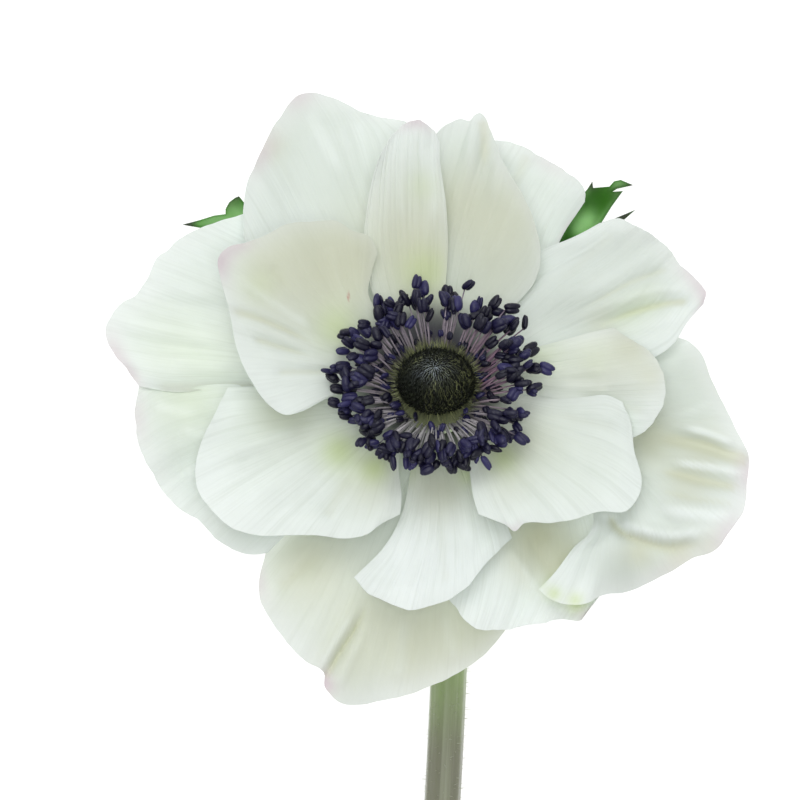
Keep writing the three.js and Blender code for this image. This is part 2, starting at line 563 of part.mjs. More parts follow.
function toManifold(geometry) {
  const bare = geometry.clone();
  bare.deleteAttribute("normal");
  bare.deleteAttribute("uv");
  const merged = mergeVertices(bare, 1e-4);
  return new wasm.Manifold(new wasm.Mesh({
    numProp: 3,
    vertProperties: new Float32Array(merged.getAttribute("position").array),
    triVerts: new Uint32Array(merged.index.array),
  }));
}

function fromManifold(solid) {
  const mesh = solid.getMesh();
  const positions = [];
  for (let k = 0; k < mesh.vertProperties.length; k += mesh.numProp) {
    positions.push(...mesh.vertProperties.slice(k, k + 3));
  }
  return geometryFrom(positions, Array.from(mesh.triVerts));
}

// One stamen in the bloom's frame: a slim four-sided filament that swells to its anther
function stamenGeometry(foot, neck, tip, antherRadius) {
  const lean = tip.clone().sub(neck).normalize();
  const sections = [
    [foot, FILAMENT_RADIUS],
    [neck, FILAMENT_RADIUS],
    [neck.clone().lerp(tip, 0.3), antherRadius],
    [neck.clone().lerp(tip, 0.75), antherRadius * 0.9],
  ];
  const right = new THREE.Vector3(-lean.y, lean.x, 0).normalize();
  const up = new THREE.Vector3().crossVectors(lean, right);
  const positions = [];
  for (const [centre, radius] of sections) {
    for (let k = 0; k < 4; k += 1) {
      const angle = (Math.PI / 2) * (k + 0.5);
      const corner = centre.clone();
      corner.addScaledVector(right, radius * Math.cos(angle));
      corner.addScaledVector(up, radius * Math.sin(angle));
      positions.push(corner.x, corner.y, corner.z);
    }
  }
  positions.push(tip.x, tip.y, tip.z);
  const apex = sections.length * 4;
  const triangles = [0, 2, 1, 0, 3, 2];
  for (let j = 0; j + 1 < sections.length; j += 1) {
    for (let k = 0; k < 4; k += 1) {
      const a = j * 4 + k;
      const b = j * 4 + ((k + 1) % 4);
      triangles.push(a, b, b + 4, a, b + 4, a + 4);
    }
  }
  for (let k = 0; k < 4; k += 1) {
    triangles.push(apex - 4 + k, apex - 4 + ((k + 1) % 4), apex);
  }
  return geometryFrom(positions, triangles);
}

// Stamens spiral outward over the disc, so the outer ones are longer and lean out further
function makeStamens() {
  const draw = seededDraws(7);
  const profile = [
    new THREE.Vector2(0, GAP),
    new THREE.Vector2(DISC_RADIUS - 0.5, GAP),
    new THREE.Vector2(DISC_RADIUS, GAP + 0.4),
    new THREE.Vector2(DISC_RADIUS - 0.3, GAP + DISC_HEIGHT),
    new THREE.Vector2(0, GAP + DISC_HEIGHT),
  ];
  const disc = new THREE.LatheGeometry(profile, DISC_SIDES);
  disc.rotateX(Math.PI / 2);
  let body = toManifold(disc);
  const goldenTurn = Math.PI * (3 - Math.sqrt(5));
  const footReach = DISC_RADIUS - 0.6;
  for (let k = 0; k < STAMEN_COUNT; k += 1) {
    const rank = k / (STAMEN_COUNT - 1);
    const angle = k * goldenTurn + 0.15 * (draw() - 0.5);
    const reach = STAMEN_REACH_INNER + (STAMEN_REACH_OUTER - STAMEN_REACH_INNER) * Math.sqrt(rank)
      + (draw() - 0.5);
    const height = STAMEN_HEIGHT_INNER + (STAMEN_HEIGHT_OUTER - STAMEN_HEIGHT_INNER) * rank
      + STAMEN_HEIGHT_VARIES * (draw() - 0.5);
    const cosine = Math.cos(angle);
    const sine = Math.sin(angle);
    const foot = new THREE.Vector3(footReach * cosine, footReach * sine, GAP + 0.4);
    const neckReach = reach - 0.6 * ANTHER_LENGTH;
    const neck = new THREE.Vector3(neckReach * cosine, neckReach * sine, height);
    const swing = angle + 0.25 * (draw() - 0.5);
    const tip = new THREE.Vector3(Math.cos(swing), Math.sin(swing), 0.7 * draw() - 0.1);
    tip.normalize().multiplyScalar(ANTHER_LENGTH).add(neck);
    const radius = ANTHER_RADIUS * (0.85 + 0.3 * draw());
    body = body.add(toManifold(stamenGeometry(foot, neck, tip, radius)));
  }
  const geometry = fromManifold(body);
  placeInBloom(geometry);
  return namedMesh("stamens", geometry, DARK_ANTHER);
}

// Dome of pistils

function makeDome() {
  const profile = [new THREE.Vector2(0, 0)];
  for (let k = 0; k <= DOME_RINGS; k += 1) {
    const angle = (-0.25 + (1.25 * k) / DOME_RINGS) * (Math.PI / 2);
    const radius = k === DOME_RINGS ? 0 : DOME_RADIUS * Math.cos(angle);
    const height = 0.3 * DOME_HEIGHT + 0.7 * DOME_HEIGHT * Math.sin(angle);
    profile.push(new THREE.Vector2(radius, Math.max(height, 0)));
  }
  const dome = new THREE.LatheGeometry(profile, DOME_SIDES);
  dome.rotateX(Math.PI / 2);
  dome.deleteAttribute("normal");
  dome.deleteAttribute("uv");
  const geometry = mergeVertices(dome, 1e-4);
  const places = geometry.getAttribute("position");
  const point = new THREE.Vector3();
  for (let k = 0; k < places.count; k += 1) {
    point.fromBufferAttribute(places, k);
    const angle = Math.atan2(point.y, point.x);
    const steepness = Math.hypot(point.x, point.y) / DOME_RADIUS;
    const wave = Math.cos(DOME_RIDGES * angle + 9 * point.z) * Math.min(1, 2 * steepness);
    const relief = 1 + DOME_RIDGE_HEIGHT * wave;
    if (point.z > 0.05) places.setXY(k, point.x * relief, point.y * relief);
  }
  geometry.translate(0, 0, 2 * GAP + DISC_HEIGHT);
  placeInBloom(geometry);
  return namedMesh("pistil_dome", geometry, DARK_DOME);
}

function placeInBloom(geometry) {
  const places = geometry.getAttribute("position");
  for (let k = 0; k < places.count; k += 1) {
    const point = fromBloom(places.getX(k), places.getY(k), places.getZ(k));
    places.setXYZ(k, point.x, point.y, point.z);
  }
}

// The whole flower

const flower = new THREE.Group();
flower.add(makeStem());
for (const bract of BRACTS) flower.add(makeBract(bract));
for (const tepal of TEPALS) flower.add(makeTepal(tepal));
flower.add(makeStamens());
flower.add(makeDome());

flower.position.set(...ORIGIN_SHIFT);

export default flower;
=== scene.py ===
"""A cut white anemone, lying on its back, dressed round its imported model.

Fifteen veined tepals, a ring of blue-black stamens, a hairy pistil dome, three cut bracts and a
downy stem. Sizes are in millimetres, and turn into metres where a mesh is written. The bloom's
plan is seen from above, with the bloom's centre at 0, 0. The bloom's own frame has Z on its axis.
"""
from __future__ import annotations

import logging
import math
import random
from contextlib import contextmanager
from dataclasses import dataclass, field
from enum import Enum
from typing import Callable, Iterable, Iterator, Mapping, Sequence

import bpy
import numpy as np
from mathutils import Matrix, Vector

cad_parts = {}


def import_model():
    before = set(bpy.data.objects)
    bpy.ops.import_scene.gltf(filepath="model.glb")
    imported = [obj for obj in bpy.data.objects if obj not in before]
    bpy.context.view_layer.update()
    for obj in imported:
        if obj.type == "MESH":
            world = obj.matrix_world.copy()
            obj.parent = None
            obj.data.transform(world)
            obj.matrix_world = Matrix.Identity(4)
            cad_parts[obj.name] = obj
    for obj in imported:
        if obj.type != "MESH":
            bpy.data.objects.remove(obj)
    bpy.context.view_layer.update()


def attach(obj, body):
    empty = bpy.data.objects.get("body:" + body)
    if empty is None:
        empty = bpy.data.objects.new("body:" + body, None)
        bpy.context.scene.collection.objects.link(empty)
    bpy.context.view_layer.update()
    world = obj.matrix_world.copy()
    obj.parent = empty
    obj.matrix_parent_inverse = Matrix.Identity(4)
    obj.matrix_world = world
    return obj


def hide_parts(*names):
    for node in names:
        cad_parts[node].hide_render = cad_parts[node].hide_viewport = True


LOG = logging.getLogger("anemone")

MM = 0.001  # a millimetre in metres
BODY = "root"
UV_NAME = "UVMap"
SPAN_STEPS = 24  # points on each span of a smooth curve
BLOOM_REACH = 40.0  # from the bloom's centre to its tepals' rims
GOLDEN_ANGLE = math.pi * (3 - math.sqrt(5))  # between one stamen or pistil and the next

Array = np.ndarray
Piece = bpy.types.Object
Mesh = bpy.types.Mesh
Material = bpy.types.Material
Socket = bpy.types.NodeSocket
Pair = tuple[float, float]
Triple = tuple[float, float, float]
Colour = tuple[float, float, float, float]  # red, green, blue and alpha
Patch = tuple[float, float, float, float]  # a soft round patch's plan x and y, radius and strength
Points = Sequence[Pair]


class Slot(Enum):
    """Material slots, by kind of tissue."""

    TEPAL = "tepal"
    LEAF = "leaf"
    STEM = "stem"
    STAMEN = "stamen"
    PISTIL = "pistil"


class Tone(Enum):
    """Colours laid on a tepal in places: the warm and cool ones are painted shade, the green and pink ones
    the tissue's own colour.
    """

    WARM_SHADE = "warm"
    COOL_SHADE = "cool"
    GREEN = "green"
    PINK = "pink"


class LeafTone(Enum):
    """Colours that a bract's tissue turns to in places."""

    PALE = "pale"
    DEEP = "deep"
    BROWN = "brown"


class Face(Enum):
    """The two faces of a blade."""

    FRONT = "front"
    BACK = "back"


# Tables of the plan


@dataclass(frozen=True)
class Ridge:
    """A crease in a tepal: its half width, its height and its line. A negative height is a valley."""

    width: float
    height: float
    line: Points


@dataclass(frozen=True)
class TepalShape:
    """One tepal, by its two sides from base to rim, its rim, and the relief of its blade.

    azimuth is where its base sits on the receptacle, in degrees, and level is its layer, 0 lowest.
    cup is its rise at BLOOM_REACH. A curl is (place along the rim, width, height), a pleat
    (place across, width, height), and a fold (x, y, x, y, slope, softness).
    """

    node: str
    azimuth: float
    level: int
    cup: float
    side_one: Points
    rim: Points
    side_two: Points
    curls: Sequence[Triple]
    pleats: Sequence[Triple]
    ridges: Sequence[Ridge]
    # tints: patches of painted warm and cool shade, and of the tissue's own green and pink
    tints: Mapping[Tone, Sequence[Patch]]
    folds: Sequence[Sequence[float]] = ()


@dataclass(frozen=True)
class BractShape:
    """One bract's cut outline, anticlockwise, with its height at the stem, slope and arch."""

    node: str
    rise: float
    slope: float
    arch: float
    outline: Points
    tints: Mapping[LeafTone, Sequence[Patch]] = field(default_factory=dict)


# The heart of the bloom is greener on every tepal
HEART_TINTS: Mapping[Tone, Sequence[Patch]] = {Tone.GREEN: ((0, -1, 12, 0.32),)}

# In each tepal's tints the warm and cool patches are painted shade: where a tepal turns from the lamp, lies
# under its neighbours or bends into a fold.
TEPALS = (
    TepalShape(
        node="tepal_bottom_outer", azimuth=265, level=0, cup=1.5, side_one=((-14.1, -13.2), (-20.1, -19.9)),
        rim=((-22.7, -22.9), (-23.5, -26.5), (-23.1, -29.7), (-20.7, -33.6), (-17.7, -36.8), (-14.9, -38.9),
            (-14.8, -40.6), (-12.4, -42.8), (-8.5, -42.8), (-4.8, -42), (-1.1, -40.7), (2.5, -39.2),
            (5.5, -37.1), (7.9, -34.9), (9.3, -33.1)),
        side_two=((4.5, -18.5), (8.5, -29.2)), curls=((0.15, 0.12, 1.4), (0.75, 0.2, -2.1)),
        pleats=((0.3, 0.05, 0.4), (0.62, 0.06, -0.4), (0.8, 0.06, 0.4)),
        folds=((-8.4, -29.2, -25.4, -56.5, -0.25, 2),),
        ridges=(
            Ridge(0.6, -1, ((-15.3, -40.4), (-13.1, -36.6), (-10.6, -32.6), (-8.6, -28.6))),
            Ridge(0.7, 0.5, ((-16.6, -39.8), (-14.4, -36.2), (-12, -32.2), (-9.9, -28.2))),
            Ridge(0.8, 0.4, ((-13.4, -41.2), (-11.2, -36.4), (-8.8, -32.2))),
            Ridge(1.5, 0.4, ((-5, -40.5), (-4.5, -34), (-3.5, -29))),
            Ridge(1.4, 0.35, ((2.5, -38), (1.5, -33), (0.5, -29))),
            Ridge(1.3, -0.4, ((-21.5, -28), (-17.5, -25), (-13.5, -21.5))),
        ),
        tints={
            Tone.WARM_SHADE: ((-1, -32, 9, 0.7), (6, -33, 6, 0.6), (-17, -24.5, 7, 0.8), (-11.5, -36, 4.5, 0.5),
                (-9, -31, 4, 0.5), (-3.5, -36, 5, 0.5), (-12.8, -39, 4, 0.15)),
            Tone.COOL_SHADE: ((-12, -39, 8, 0.5), (-13, -40, 4, 0.6), (-20, -32, 6, 0.3)),
            Tone.PINK: ((-14.9, -40.3, 1.6, 0.9), (-23.2, -27, 2.4, 0.4)),
        },
    ),
    TepalShape(
        node="tepal_left_lower", azimuth=205, level=1, cup=3, side_one=((-24.8, 1.5), (-36.8, 1.2)),
        rim=((-39.6, -0.5), (-40.1, -4.3), (-39.6, -8.3), (-38.1, -11.6), (-36.1, -14.9), (-33.5, -17.5),
            (-31.5, -18.5), (-29.6, -20.7), (-27.2, -22.3), (-24.1, -23.1), (-22.4, -22.8)),
        side_two=((-10.1, -9.2), (-18.1, -18.5)), curls=((0.3, 0.15, 1.7), (0.75, 0.1, -1.1)),
        pleats=((0.35, 0.05, 0.5), (0.6, 0.06, -0.4)),
        ridges=(
            Ridge(1.2, 0.6, ((-38, -3), (-34, -4), (-29.5, -4.4))),
            Ridge(1, 0.5, ((-34, -6.5), (-30.5, -7.2), (-27, -7.8))),
            Ridge(1.1, 0.5, ((-33.5, -12.5), (-30, -12), (-26.5, -11))),
            Ridge(1.2, 0.4, ((-29, -19), (-26.5, -16.5), (-24, -13.5))),
        ),
        tints={
            Tone.COOL_SHADE: ((-34, -9, 8, 0.7), (-27, -19.5, 5, 0.4), (-38, -3, 5, 0.4)),
            Tone.GREEN: ((-33, -2, 5, 0.2),), Tone.PINK: ((-40, -5, 3, 0.4),),
        },
    ),
    TepalShape(
        node="tepal_bottom_right", azimuth=298, level=1, cup=2, side_one=((1, -14), (1.9, -23.9)),
        rim=((1.5, -28.9), (2.7, -30.1), (3.6, -31.6), (5.6, -32.9), (8.3, -33.1), (12.5, -32.4),
            (16.8, -31.7), (19.2, -31.7), (20.5, -30.1)),
        side_two=((14, -10), (22.6, -15.5), (24.2, -22.5), (22.4, -27.6)),
        curls=((0.25, 0.15, 1.1), (0.85, 0.12, -1.1)), pleats=((0.5, 0.05, -0.5),),
        folds=((9.2, -21.9, 20, -37.5, -0.2, 1.5),),
        ridges=(
            Ridge(0.7, 0.45, ((18.6, -31.4), (15.2, -30.2), (13.6, -28.2), (11.8, -25.2), (9.2, -21.9),
                (7, -18))),
            Ridge(0.6, 0.6, ((20, -30.4), (17.8, -29.4), (14.6, -27.2))),
            Ridge(1, -0.5, ((16.5, -28), (14.5, -24.5), (12, -20))),
        ),
        tints={
            Tone.WARM_SHADE: ((13.5, -21, 4.5, 1), (17, -24.5, 3.4, 1), (11.2, -24.5, 3, 0.3)),
            Tone.COOL_SHADE: ((10, -30, 6, 0.2),), Tone.GREEN: ((18.6, -29.5, 1.6, 0.6), (15.8, -27.6, 1.4, 0.5)),
            Tone.PINK: ((20, -31, 1.4, 0.6),),
        },
    ),
    TepalShape(
        node="tepal_left_outer", azimuth=165, level=2, cup=3.4, side_one=((-14.1, 12.1), (-20.8, 19.5)),
        rim=((-25.7, 22.4), (-29.5, 21.2), (-34.1, 19.2), (-35.7, 17.6), (-37.3, 16.4), (-38.5, 13.9),
            (-40, 11.5), (-42, 10.4), (-43.7, 8.1), (-44, 5.9), (-42.9, 3.6), (-41.2, 1.6), (-39.6, -0.7)),
        side_two=((-15.5, -0.5), (-28.8, -1), (-34.8, -1.5)), curls=((0.45, 0.06, 1.7), (0.75, 0.1, -1.1)),
        pleats=((0.3, 0.05, 0.5), (0.5, 0.05, -0.6), (0.68, 0.05, 0.6), (0.98, 0.09, -1.6)),
        ridges=(
            Ridge(1.5, 0.7, ((-40.5, 12.2), (-34, 11.8), (-27.5, 10.6))),
            Ridge(1.3, 0.6, ((-42.8, 7.8), (-34, 6.2), (-25.5, 4.6))),
            Ridge(1.1, 0.5, ((-35.5, 2.8), (-30, 2.2), (-25, 2.1))),
            Ridge(1.3, 0.4, ((-33, 17.5), (-28, 14.5), (-22, 11))),
            Ridge(1.3, -0.5, ((-39, -0.9), (-32, -1.1), (-24, -0.9), (-14, -0.4))),
        ),
        tints={
            Tone.COOL_SHADE: ((-39, 8, 7, 0.4), (-31, 17, 7, 0.35)),
            Tone.GREEN: ((-30, 1.5, 6, 0.16), (-36, 5, 6, 0.1)),
            Tone.PINK: ((-43.2, 3.4, 3, 0.6), (-41, 0.4, 2.2, 0.6)),
        },
    ),
    TepalShape(
        node="tepal_right_outer", azimuth=335, level=2, cup=5,
        side_one=((12.5, -11.5), (20.8, -17.2), (20.3, -20.2), (18.4, -22), (15.6, -25.6)),
        rim=((13.6, -27.6), (15.1, -28.9), (17.9, -29.7), (20.2, -29.4), (21.4, -28.7), (22.9, -28.3),
            (25.2, -28), (30.9, -25.5), (33.9, -23.6), (36.8, -22.5), (38.8, -20.1), (40.7, -17.5),
            (41.3, -13.2), (41.5, -9.9), (40.3, -7.1), (38.1, -2.8), (36.5, 0.7), (35.5, 3.5), (33.9, 5.2),
            (32, 5.9)),
        side_two=((15.5, 1), (24.5, 3.6)),
        curls=((0.1, 0.06, 1.7), (0.25, 0.05, -1.7), (0.5, 0.08, 1.7), (0.7, 0.08, -1.1)),
        pleats=((0.45, 0.04, 0.5), (0.58, 0.04, -0.5), (0.72, 0.04, 0.5)),
        folds=((37.2, -22.3, 22.3, -17.9, -0.35, 1.5),),
        ridges=(
            Ridge(0.7, 0.8, ((40, -8.6), (36, -7), (31, -5.8))),
            Ridge(1.15, -1.1, ((42, -10.9), (39.9, -10.3), (35.7, -8.8), (31, -7.9), (27.5, -7.5))),
            Ridge(0.7, 0.9, ((42, -12.6), (35.7, -11.4), (29, -10.6))),
            Ridge(0.85, -0.9, ((41.2, -14.2), (35.7, -13.5), (31.9, -12.5), (28.5, -11.8))),
            Ridge(0.6, -0.55, ((40.2, -16.5), (34, -15.8), (28.1, -14.1))),
            Ridge(1.1, 0.8, ((39.8, -18), (34, -17.6), (27, -16.6))),
            Ridge(0.8, 0.8, ((21.6, -18), (19.4, -21.2), (16.8, -24.4), (14.6, -27.4))),
            Ridge(0.8, 0.8, ((23.8, -18.2), (26.5, -19.6), (31, -20.5), (35, -20), (38.6, -19.2))),
            Ridge(0.8, -1, ((22.2, -17.2), (24.5, -20), (27.5, -21.2), (30.8, -22.1), (34, -21.8),
                (38, -21.6))),
            Ridge(0.9, 0.4, ((37, -2.5), (33, -4.5), (28.5, -5))),
            Ridge(0.5, -0.3, ((38.4, -4.6), (34, -5.4), (30, -5.2))),
        ),
        tints={
            Tone.WARM_SHADE: ((27, -22.6, 2.2, 0.7), (32.5, -23.2, 2.4, 0.7), (36.5, -22, 2, 0.5),
                (28.5, -8, 3.6, 0.7), (36, -9.4, 3, 0.5), (33.5, -13.4, 3, 0.5)),
            Tone.COOL_SHADE: ((24, -24.5, 4.5, 0.9), (31, -24, 4.5, 0.7), (33.5, -13.4, 5, 0.5),
                (27.5, -26, 4, 0.5), (31, -8, 10, 0.9), (35, 0, 7, 0.9), (35, -17, 8, 0.4)),
            Tone.GREEN: ((15.6, -28.3, 1.1, 0.6), (18.4, -29.2, 1.1, 0.6), (13.9, -26.8, 0.9, 0.4)),
            Tone.PINK: ((42, -12.5, 2.6, 0.6), (39, -20.5, 3, 0.5), (31, -25.5, 4, 0.2)),
        },
    ),
    TepalShape(
        node="tepal_top_right", azimuth=60, level=2, cup=0.2,
        side_one=((10, 8), (14.9, 14.1), (16.3, 18.1), (17.5, 20.4), (18.8, 22.3)),
        rim=((20, 24.1), (19.9, 25.7), (18.1, 27.7), (15.5, 29.3), (13.2, 30.7), (10.9, 31.8), (9.2, 32.3),
            (7.6, 32.2), (5.6, 31.6), (3.4, 30.9), (1.2, 29.8)),
        side_two=((-1.2, 14), (-1.8, 21.5), (-1, 26.8)), curls=((0.1, 0.1, 1.7), (0.75, 0.2, -2.2)),
        pleats=((0.3, 0.06, 0.4),),
        ridges=(
            Ridge(1.3, 0.4, ((18.5, 26.5), (15, 22.5), (11.5, 18))),
            Ridge(1.2, -0.4, ((12.5, 31), (11, 27.5), (9, 23))),
        ),
        tints={
            Tone.COOL_SHADE: ((14, 26, 12, 0.55),), Tone.PINK: ((18, 20, 3, 0.3), (15.5, 29.5, 3, 0.25)),
        },
    ),
    TepalShape(
        node="tepal_bottom_inner", azimuth=270, level=2, cup=6,
        side_one=((-3, -10), (-4.5, -17.5), (-6.8, -21.9)),
        rim=((-10.9, -26.1), (-9, -28.1), (-5.7, -29.7), (-2.8, -30.4), (-0.5, -29.7), (1.9, -28.9),
            (4.1, -27.3), (6.1, -24.9), (7.9, -22.9), (10.1, -20.9)),
        side_two=((4, -9), (8.5, -17)), curls=((0.05, 0.12, 1.1), (0.55, 0.2, 0.7)),
        pleats=((0.35, 0.06, 0.4), (0.6, 0.05, -0.3)),
        ridges=(
            Ridge(1.2, 0.4, ((-4.5, -29), (-3.6, -23), (-2.4, -16))),
            Ridge(1.1, -0.3, ((1.5, -28), (0.8, -22), (0.2, -15))),
            Ridge(1.1, 0.3, ((6, -24), (4, -19), (2.2, -14))),
        ),
        tints={
            Tone.WARM_SHADE: ((0.5, -14.6, 4.6, 0.6),),
            Tone.GREEN: ((-4.6, -11.8, 2, 0.5), (4.2, -12.4, 1.6, 0.4)),
        },
    ),
    TepalShape(
        node="tepal_top_left", azimuth=120, level=3, cup=0.4,
        side_one=((-1.6, 12), (-1.1, 27.5), (-1.9, 32.8)),
        rim=((-4.1, 34.8), (-9.5, 36), (-14.8, 38.4), (-18.1, 38.5), (-20.8, 35.7), (-23.2, 31.2),
            (-25.1, 26.8), (-25.7, 23.5), (-25.7, 19.5)),
        side_two=((-12, 6), (-21.5, 12.1), (-24.4, 16)),
        curls=((0.1, 0.1, 1.4), (0.4, 0.12, -0.8), (0.95, 0.28, 4.2)),
        pleats=((0.3, 0.05, 0.4), (0.55, 0.05, -0.5), (0.75, 0.05, 0.4)),
        ridges=(
            Ridge(1.4, 0.5, ((-17.5, 37), (-14.5, 31), (-11, 25))),
            Ridge(1.3, 0.4, ((-10.5, 35.5), (-9.5, 30), (-8.5, 25))),
            Ridge(1.4, -0.2, ((-22.5, 31), (-18.5, 26), (-14.5, 21))),
        ),
        tints={
            Tone.WARM_SHADE: ((-9, 20, 5, 0.4), (-22, 31.5, 2, 0.4)),
            Tone.COOL_SHADE: ((-14, 26, 14, 0.7), (-20, 35, 9, 0.5), (-22, 31.5, 2.6, 0.7)),
            Tone.PINK: ((-18.5, 38.5, 2.4, 0.5), (-23.3, 30.5, 3, 0.5)),
        },
    ),
    TepalShape(
        node="tepal_right_upper", azimuth=25, level=3, cup=5,
        side_one=((16.5, 1.2), (23.2, 1.8), (28.5, 2.9), (31.5, 4.8), (33.6, 7.9)),
        rim=((35.7, 10.3), (35.9, 12), (34.3, 14), (32.8, 15.3), (31.2, 17.5), (29.3, 19.2), (26.7, 20.7),
            (24.3, 21.7), (21.9, 21.1)),
        side_two=((9.2, 12.1), (11.9, 15.9), (14, 17.4), (18.5, 19.3)),
        curls=((0.1, 0.12, 1.1), (0.7, 0.15, 1.7)), pleats=((0.48, 0.06, 0.5), (0.7, 0.06, -0.4)),
        folds=((14.9, 4.1, 55, 18.4, 0.26, 1.5),),
        ridges=(
            Ridge(1.1, 0.35, ((33.5, 8.6), (27, 7.2), (19, 4.8))),
            Ridge(0.8, -0.75, ((34.5, 10.6), (30.5, 10.2), (25.5, 8.8), (19, 5.8))),
            Ridge(0.8, 0.45, ((34, 12.2), (29.5, 12.2), (24.5, 10.6), (18, 7.2))),
            Ridge(0.7, -0.5, ((32, 15.2), (27, 13.6), (22, 11), (17, 8.2))),
            Ridge(1.2, 0.4, ((29.5, 17.5), (23, 13.8), (16, 9.4))),
            Ridge(1.2, -0.3, ((24.5, 20.5), (19.5, 15.8), (14, 10.8))),
        ),
        tints={
            Tone.WARM_SHADE: ((22, 7.6, 2.4, 0.4),), Tone.COOL_SHADE: ((18, 10, 8, 0.75), (27, 15, 9, 0.8)),
            Tone.GREEN: ((25.5, 9, 2.6, 0.16), (28.5, 10.6, 2.2, 0.14)),
            Tone.PINK: ((36, 11.4, 2.6, 0.7), (34, 14.5, 1.8, 0.4)),
        },
    ),
    TepalShape(
        node="tepal_left_inner_lower", azimuth=215, level=3, cup=7, side_one=((-18.1, -2), (-24.8, -0.9)),
        rim=((-27.7, -0.9), (-28.9, -3.2), (-30.9, -7.5), (-31.9, -10.8), (-31.7, -14.3), (-29.9, -16.9),
            (-27.5, -19.3), (-24.1, -20.4), (-19.5, -20.5), (-15.7, -20.5), (-12.1, -20.9), (-9.2, -20.4),
            (-7.5, -19.1), (-4.8, -17.7)),
        side_two=((-4.8, -10), (-4.6, -15.5)),
        curls=((0.1, 0.08, 1.1), (0.45, 0.08, 1.4), (0.7, 0.08, -0.7), (0.9, 0.08, 1.4)),
        pleats=((0.25, 0.05, 0.5), (0.45, 0.05, -0.4), (0.7, 0.05, 0.4)),
        ridges=(
            Ridge(1.4, 0.6, ((-28.5, -10.2), (-22, -7.9), (-16, -5.8))),
            Ridge(1.3, 0.4, ((-25.5, -16.5), (-19.5, -12.5), (-14, -9))),
            Ridge(1.3, -0.4, ((-15, -19), (-12.5, -14.5), (-10, -11))),
        ),
        tints={
            Tone.WARM_SHADE: ((-20, -3.5, 5, 0.6), (-9, -14.6, 3.6, 0.45)),
            Tone.GREEN: ((-12.8, -9.4, 2.8, 0.6), (-8.2, -11.6, 2.2, 0.6), (-21, -12, 12, 0.07)),
        },
    ),
    TepalShape(
        node="tepal_top_inner", azimuth=70, level=4, cup=9,
        side_one=((7.5, 6.5), (11.2, 10.8), (12.9, 12.8)),
        rim=((13.9, 15.1), (14, 17.5), (13.5, 19.9), (12.3, 23.5), (10.4, 26.9), (8.9, 29.6), (8, 31.8),
            (7.3, 33.7), (6.7, 35.2), (5.9, 36), (5.2, 35.6), (4.5, 34.8), (3.3, 35.1), (1.9, 34.7),
            (0.4, 33.5), (-1.2, 31.4)),
        side_two=((-2, 11), (-3.2, 18.8), (-2.6, 25.6)), curls=((0.15, 0.2, 2), (0.75, 0.25, -3.2)),
        pleats=((0.35, 0.06, 0.4), (0.55, 0.06, -0.5), (0.7, 0.06, 0.4)),
        ridges=(
            Ridge(1.1, 0.3, ((11, 24.5), (9, 19.5), (6.8, 14))),
            Ridge(1.1, -0.7, ((6.4, 35.6), (6.5, 32), (6.4, 26))),
            Ridge(0.9, 0.35, ((4.6, 34.5), (4.7, 31), (4.6, 26))),
            Ridge(0.9, 0.35, ((8.2, 30.5), (8, 27), (7.2, 22))),
        ),
        tints={
            Tone.WARM_SHADE: ((8, 15, 7, 0.4), (4.5, 22.5, 6.5, 0.55), (2, 24, 4, 0.5), (9.5, 21.5, 5, 0.5)),
            Tone.COOL_SHADE: ((7, 18, 10, 0.9), (5, 28, 8, 0.8), (3, 34, 4, 0.3), (9, 23, 6, 0.7),
                (11.6, 23, 4, 0.7), (8, 18, 6, 0.3)),
        },
    ),
    TepalShape(
        node="tepal_right_inner", azimuth=5, level=4, cup=8,
        side_one=((10, -4), (16.5, -6.5), (21.9, -7.6)),
        rim=((25.6, -7.9), (27.9, -6.5), (29.6, -4.3), (30.5, -1.5), (30.1, 1.1), (29.1, 3.2), (27.2, 4.8),
            (25.2, 6), (23.6, 7.1)),
        side_two=((9, 3.6), (14.5, 4.8), (20.8, 6.5)), curls=((0.5, 0.3, 2.8),),
        pleats=((0.4, 0.07, -0.4), (0.65, 0.06, 0.4)),
        ridges=(
            Ridge(0.8, 0.3, ((22.5, 1.6), (18.5, 1.2), (14.5, 0.8))),
            Ridge(0.8, 0.3, ((23, -1.2), (19, -0.9), (14.5, -0.5))),
            Ridge(1.1, -0.3, ((28.5, -4), (23.5, -3.4), (18.5, -2.4))),
        ),
        tints={
            Tone.WARM_SHADE: ((22, 2, 7, 0.5), (26, 4.6, 3, 0.7), (28.8, 0.8, 2.2, 0.5)),
            Tone.COOL_SHADE: ((28, 0, 7, 0.4), (26.4, 4.4, 3, 0.4)),
            Tone.GREEN: ((21, 2.8, 2.4, 0.12), (13.5, 3, 4, 0.3)),
        },
    ),
    TepalShape(
        node="tepal_top_centre", azimuth=96, level=5, cup=11, side_one=((1.2, 10), (1.6, 17.5), (1.5, 21.5),
            (1.3, 24.1), (0.9, 26.8), (0.5, 29.5)),
        rim=((0.5, 31.9), (-0.3, 33.5), (-2.6, 34.9), (-4.9, 33.8), (-6.5, 31.9), (-7.6, 29.8)),
        side_two=((-7.4, 9), (-9.6, 17), (-9.3, 22.5), (-8.5, 27)),
        curls=((0.1, 0.2, 0.3), (0.55, 0.15, -0.7)), pleats=((0.3, 0.08, 0.5), (0.6, 0.08, -0.4)),
        ridges=(
            Ridge(1, 0.45, ((-0.6, 31.5), (-0.3, 25), (-0.4, 18))),
            Ridge(1, 0.35, ((-5.6, 32), (-4.8, 25), (-3.6, 17))),
            Ridge(0.7, -0.25, ((-2.6, 33.5), (-2.4, 26), (-2, 18))),
        ),
        tints={
            Tone.WARM_SHADE: ((-3, 17, 9, 0.9),), Tone.COOL_SHADE: ((-4, 26, 8, 0.5), (-4, 20, 6, 0.5)),
            Tone.GREEN: ((-1.4, 14.5, 3.2, 0.4), (-1.8, 26, 2.2, 0.16)),
            Tone.PINK: ((-2.6, 35.2, 2.4, 0.7),),
        },
    ),
    TepalShape(
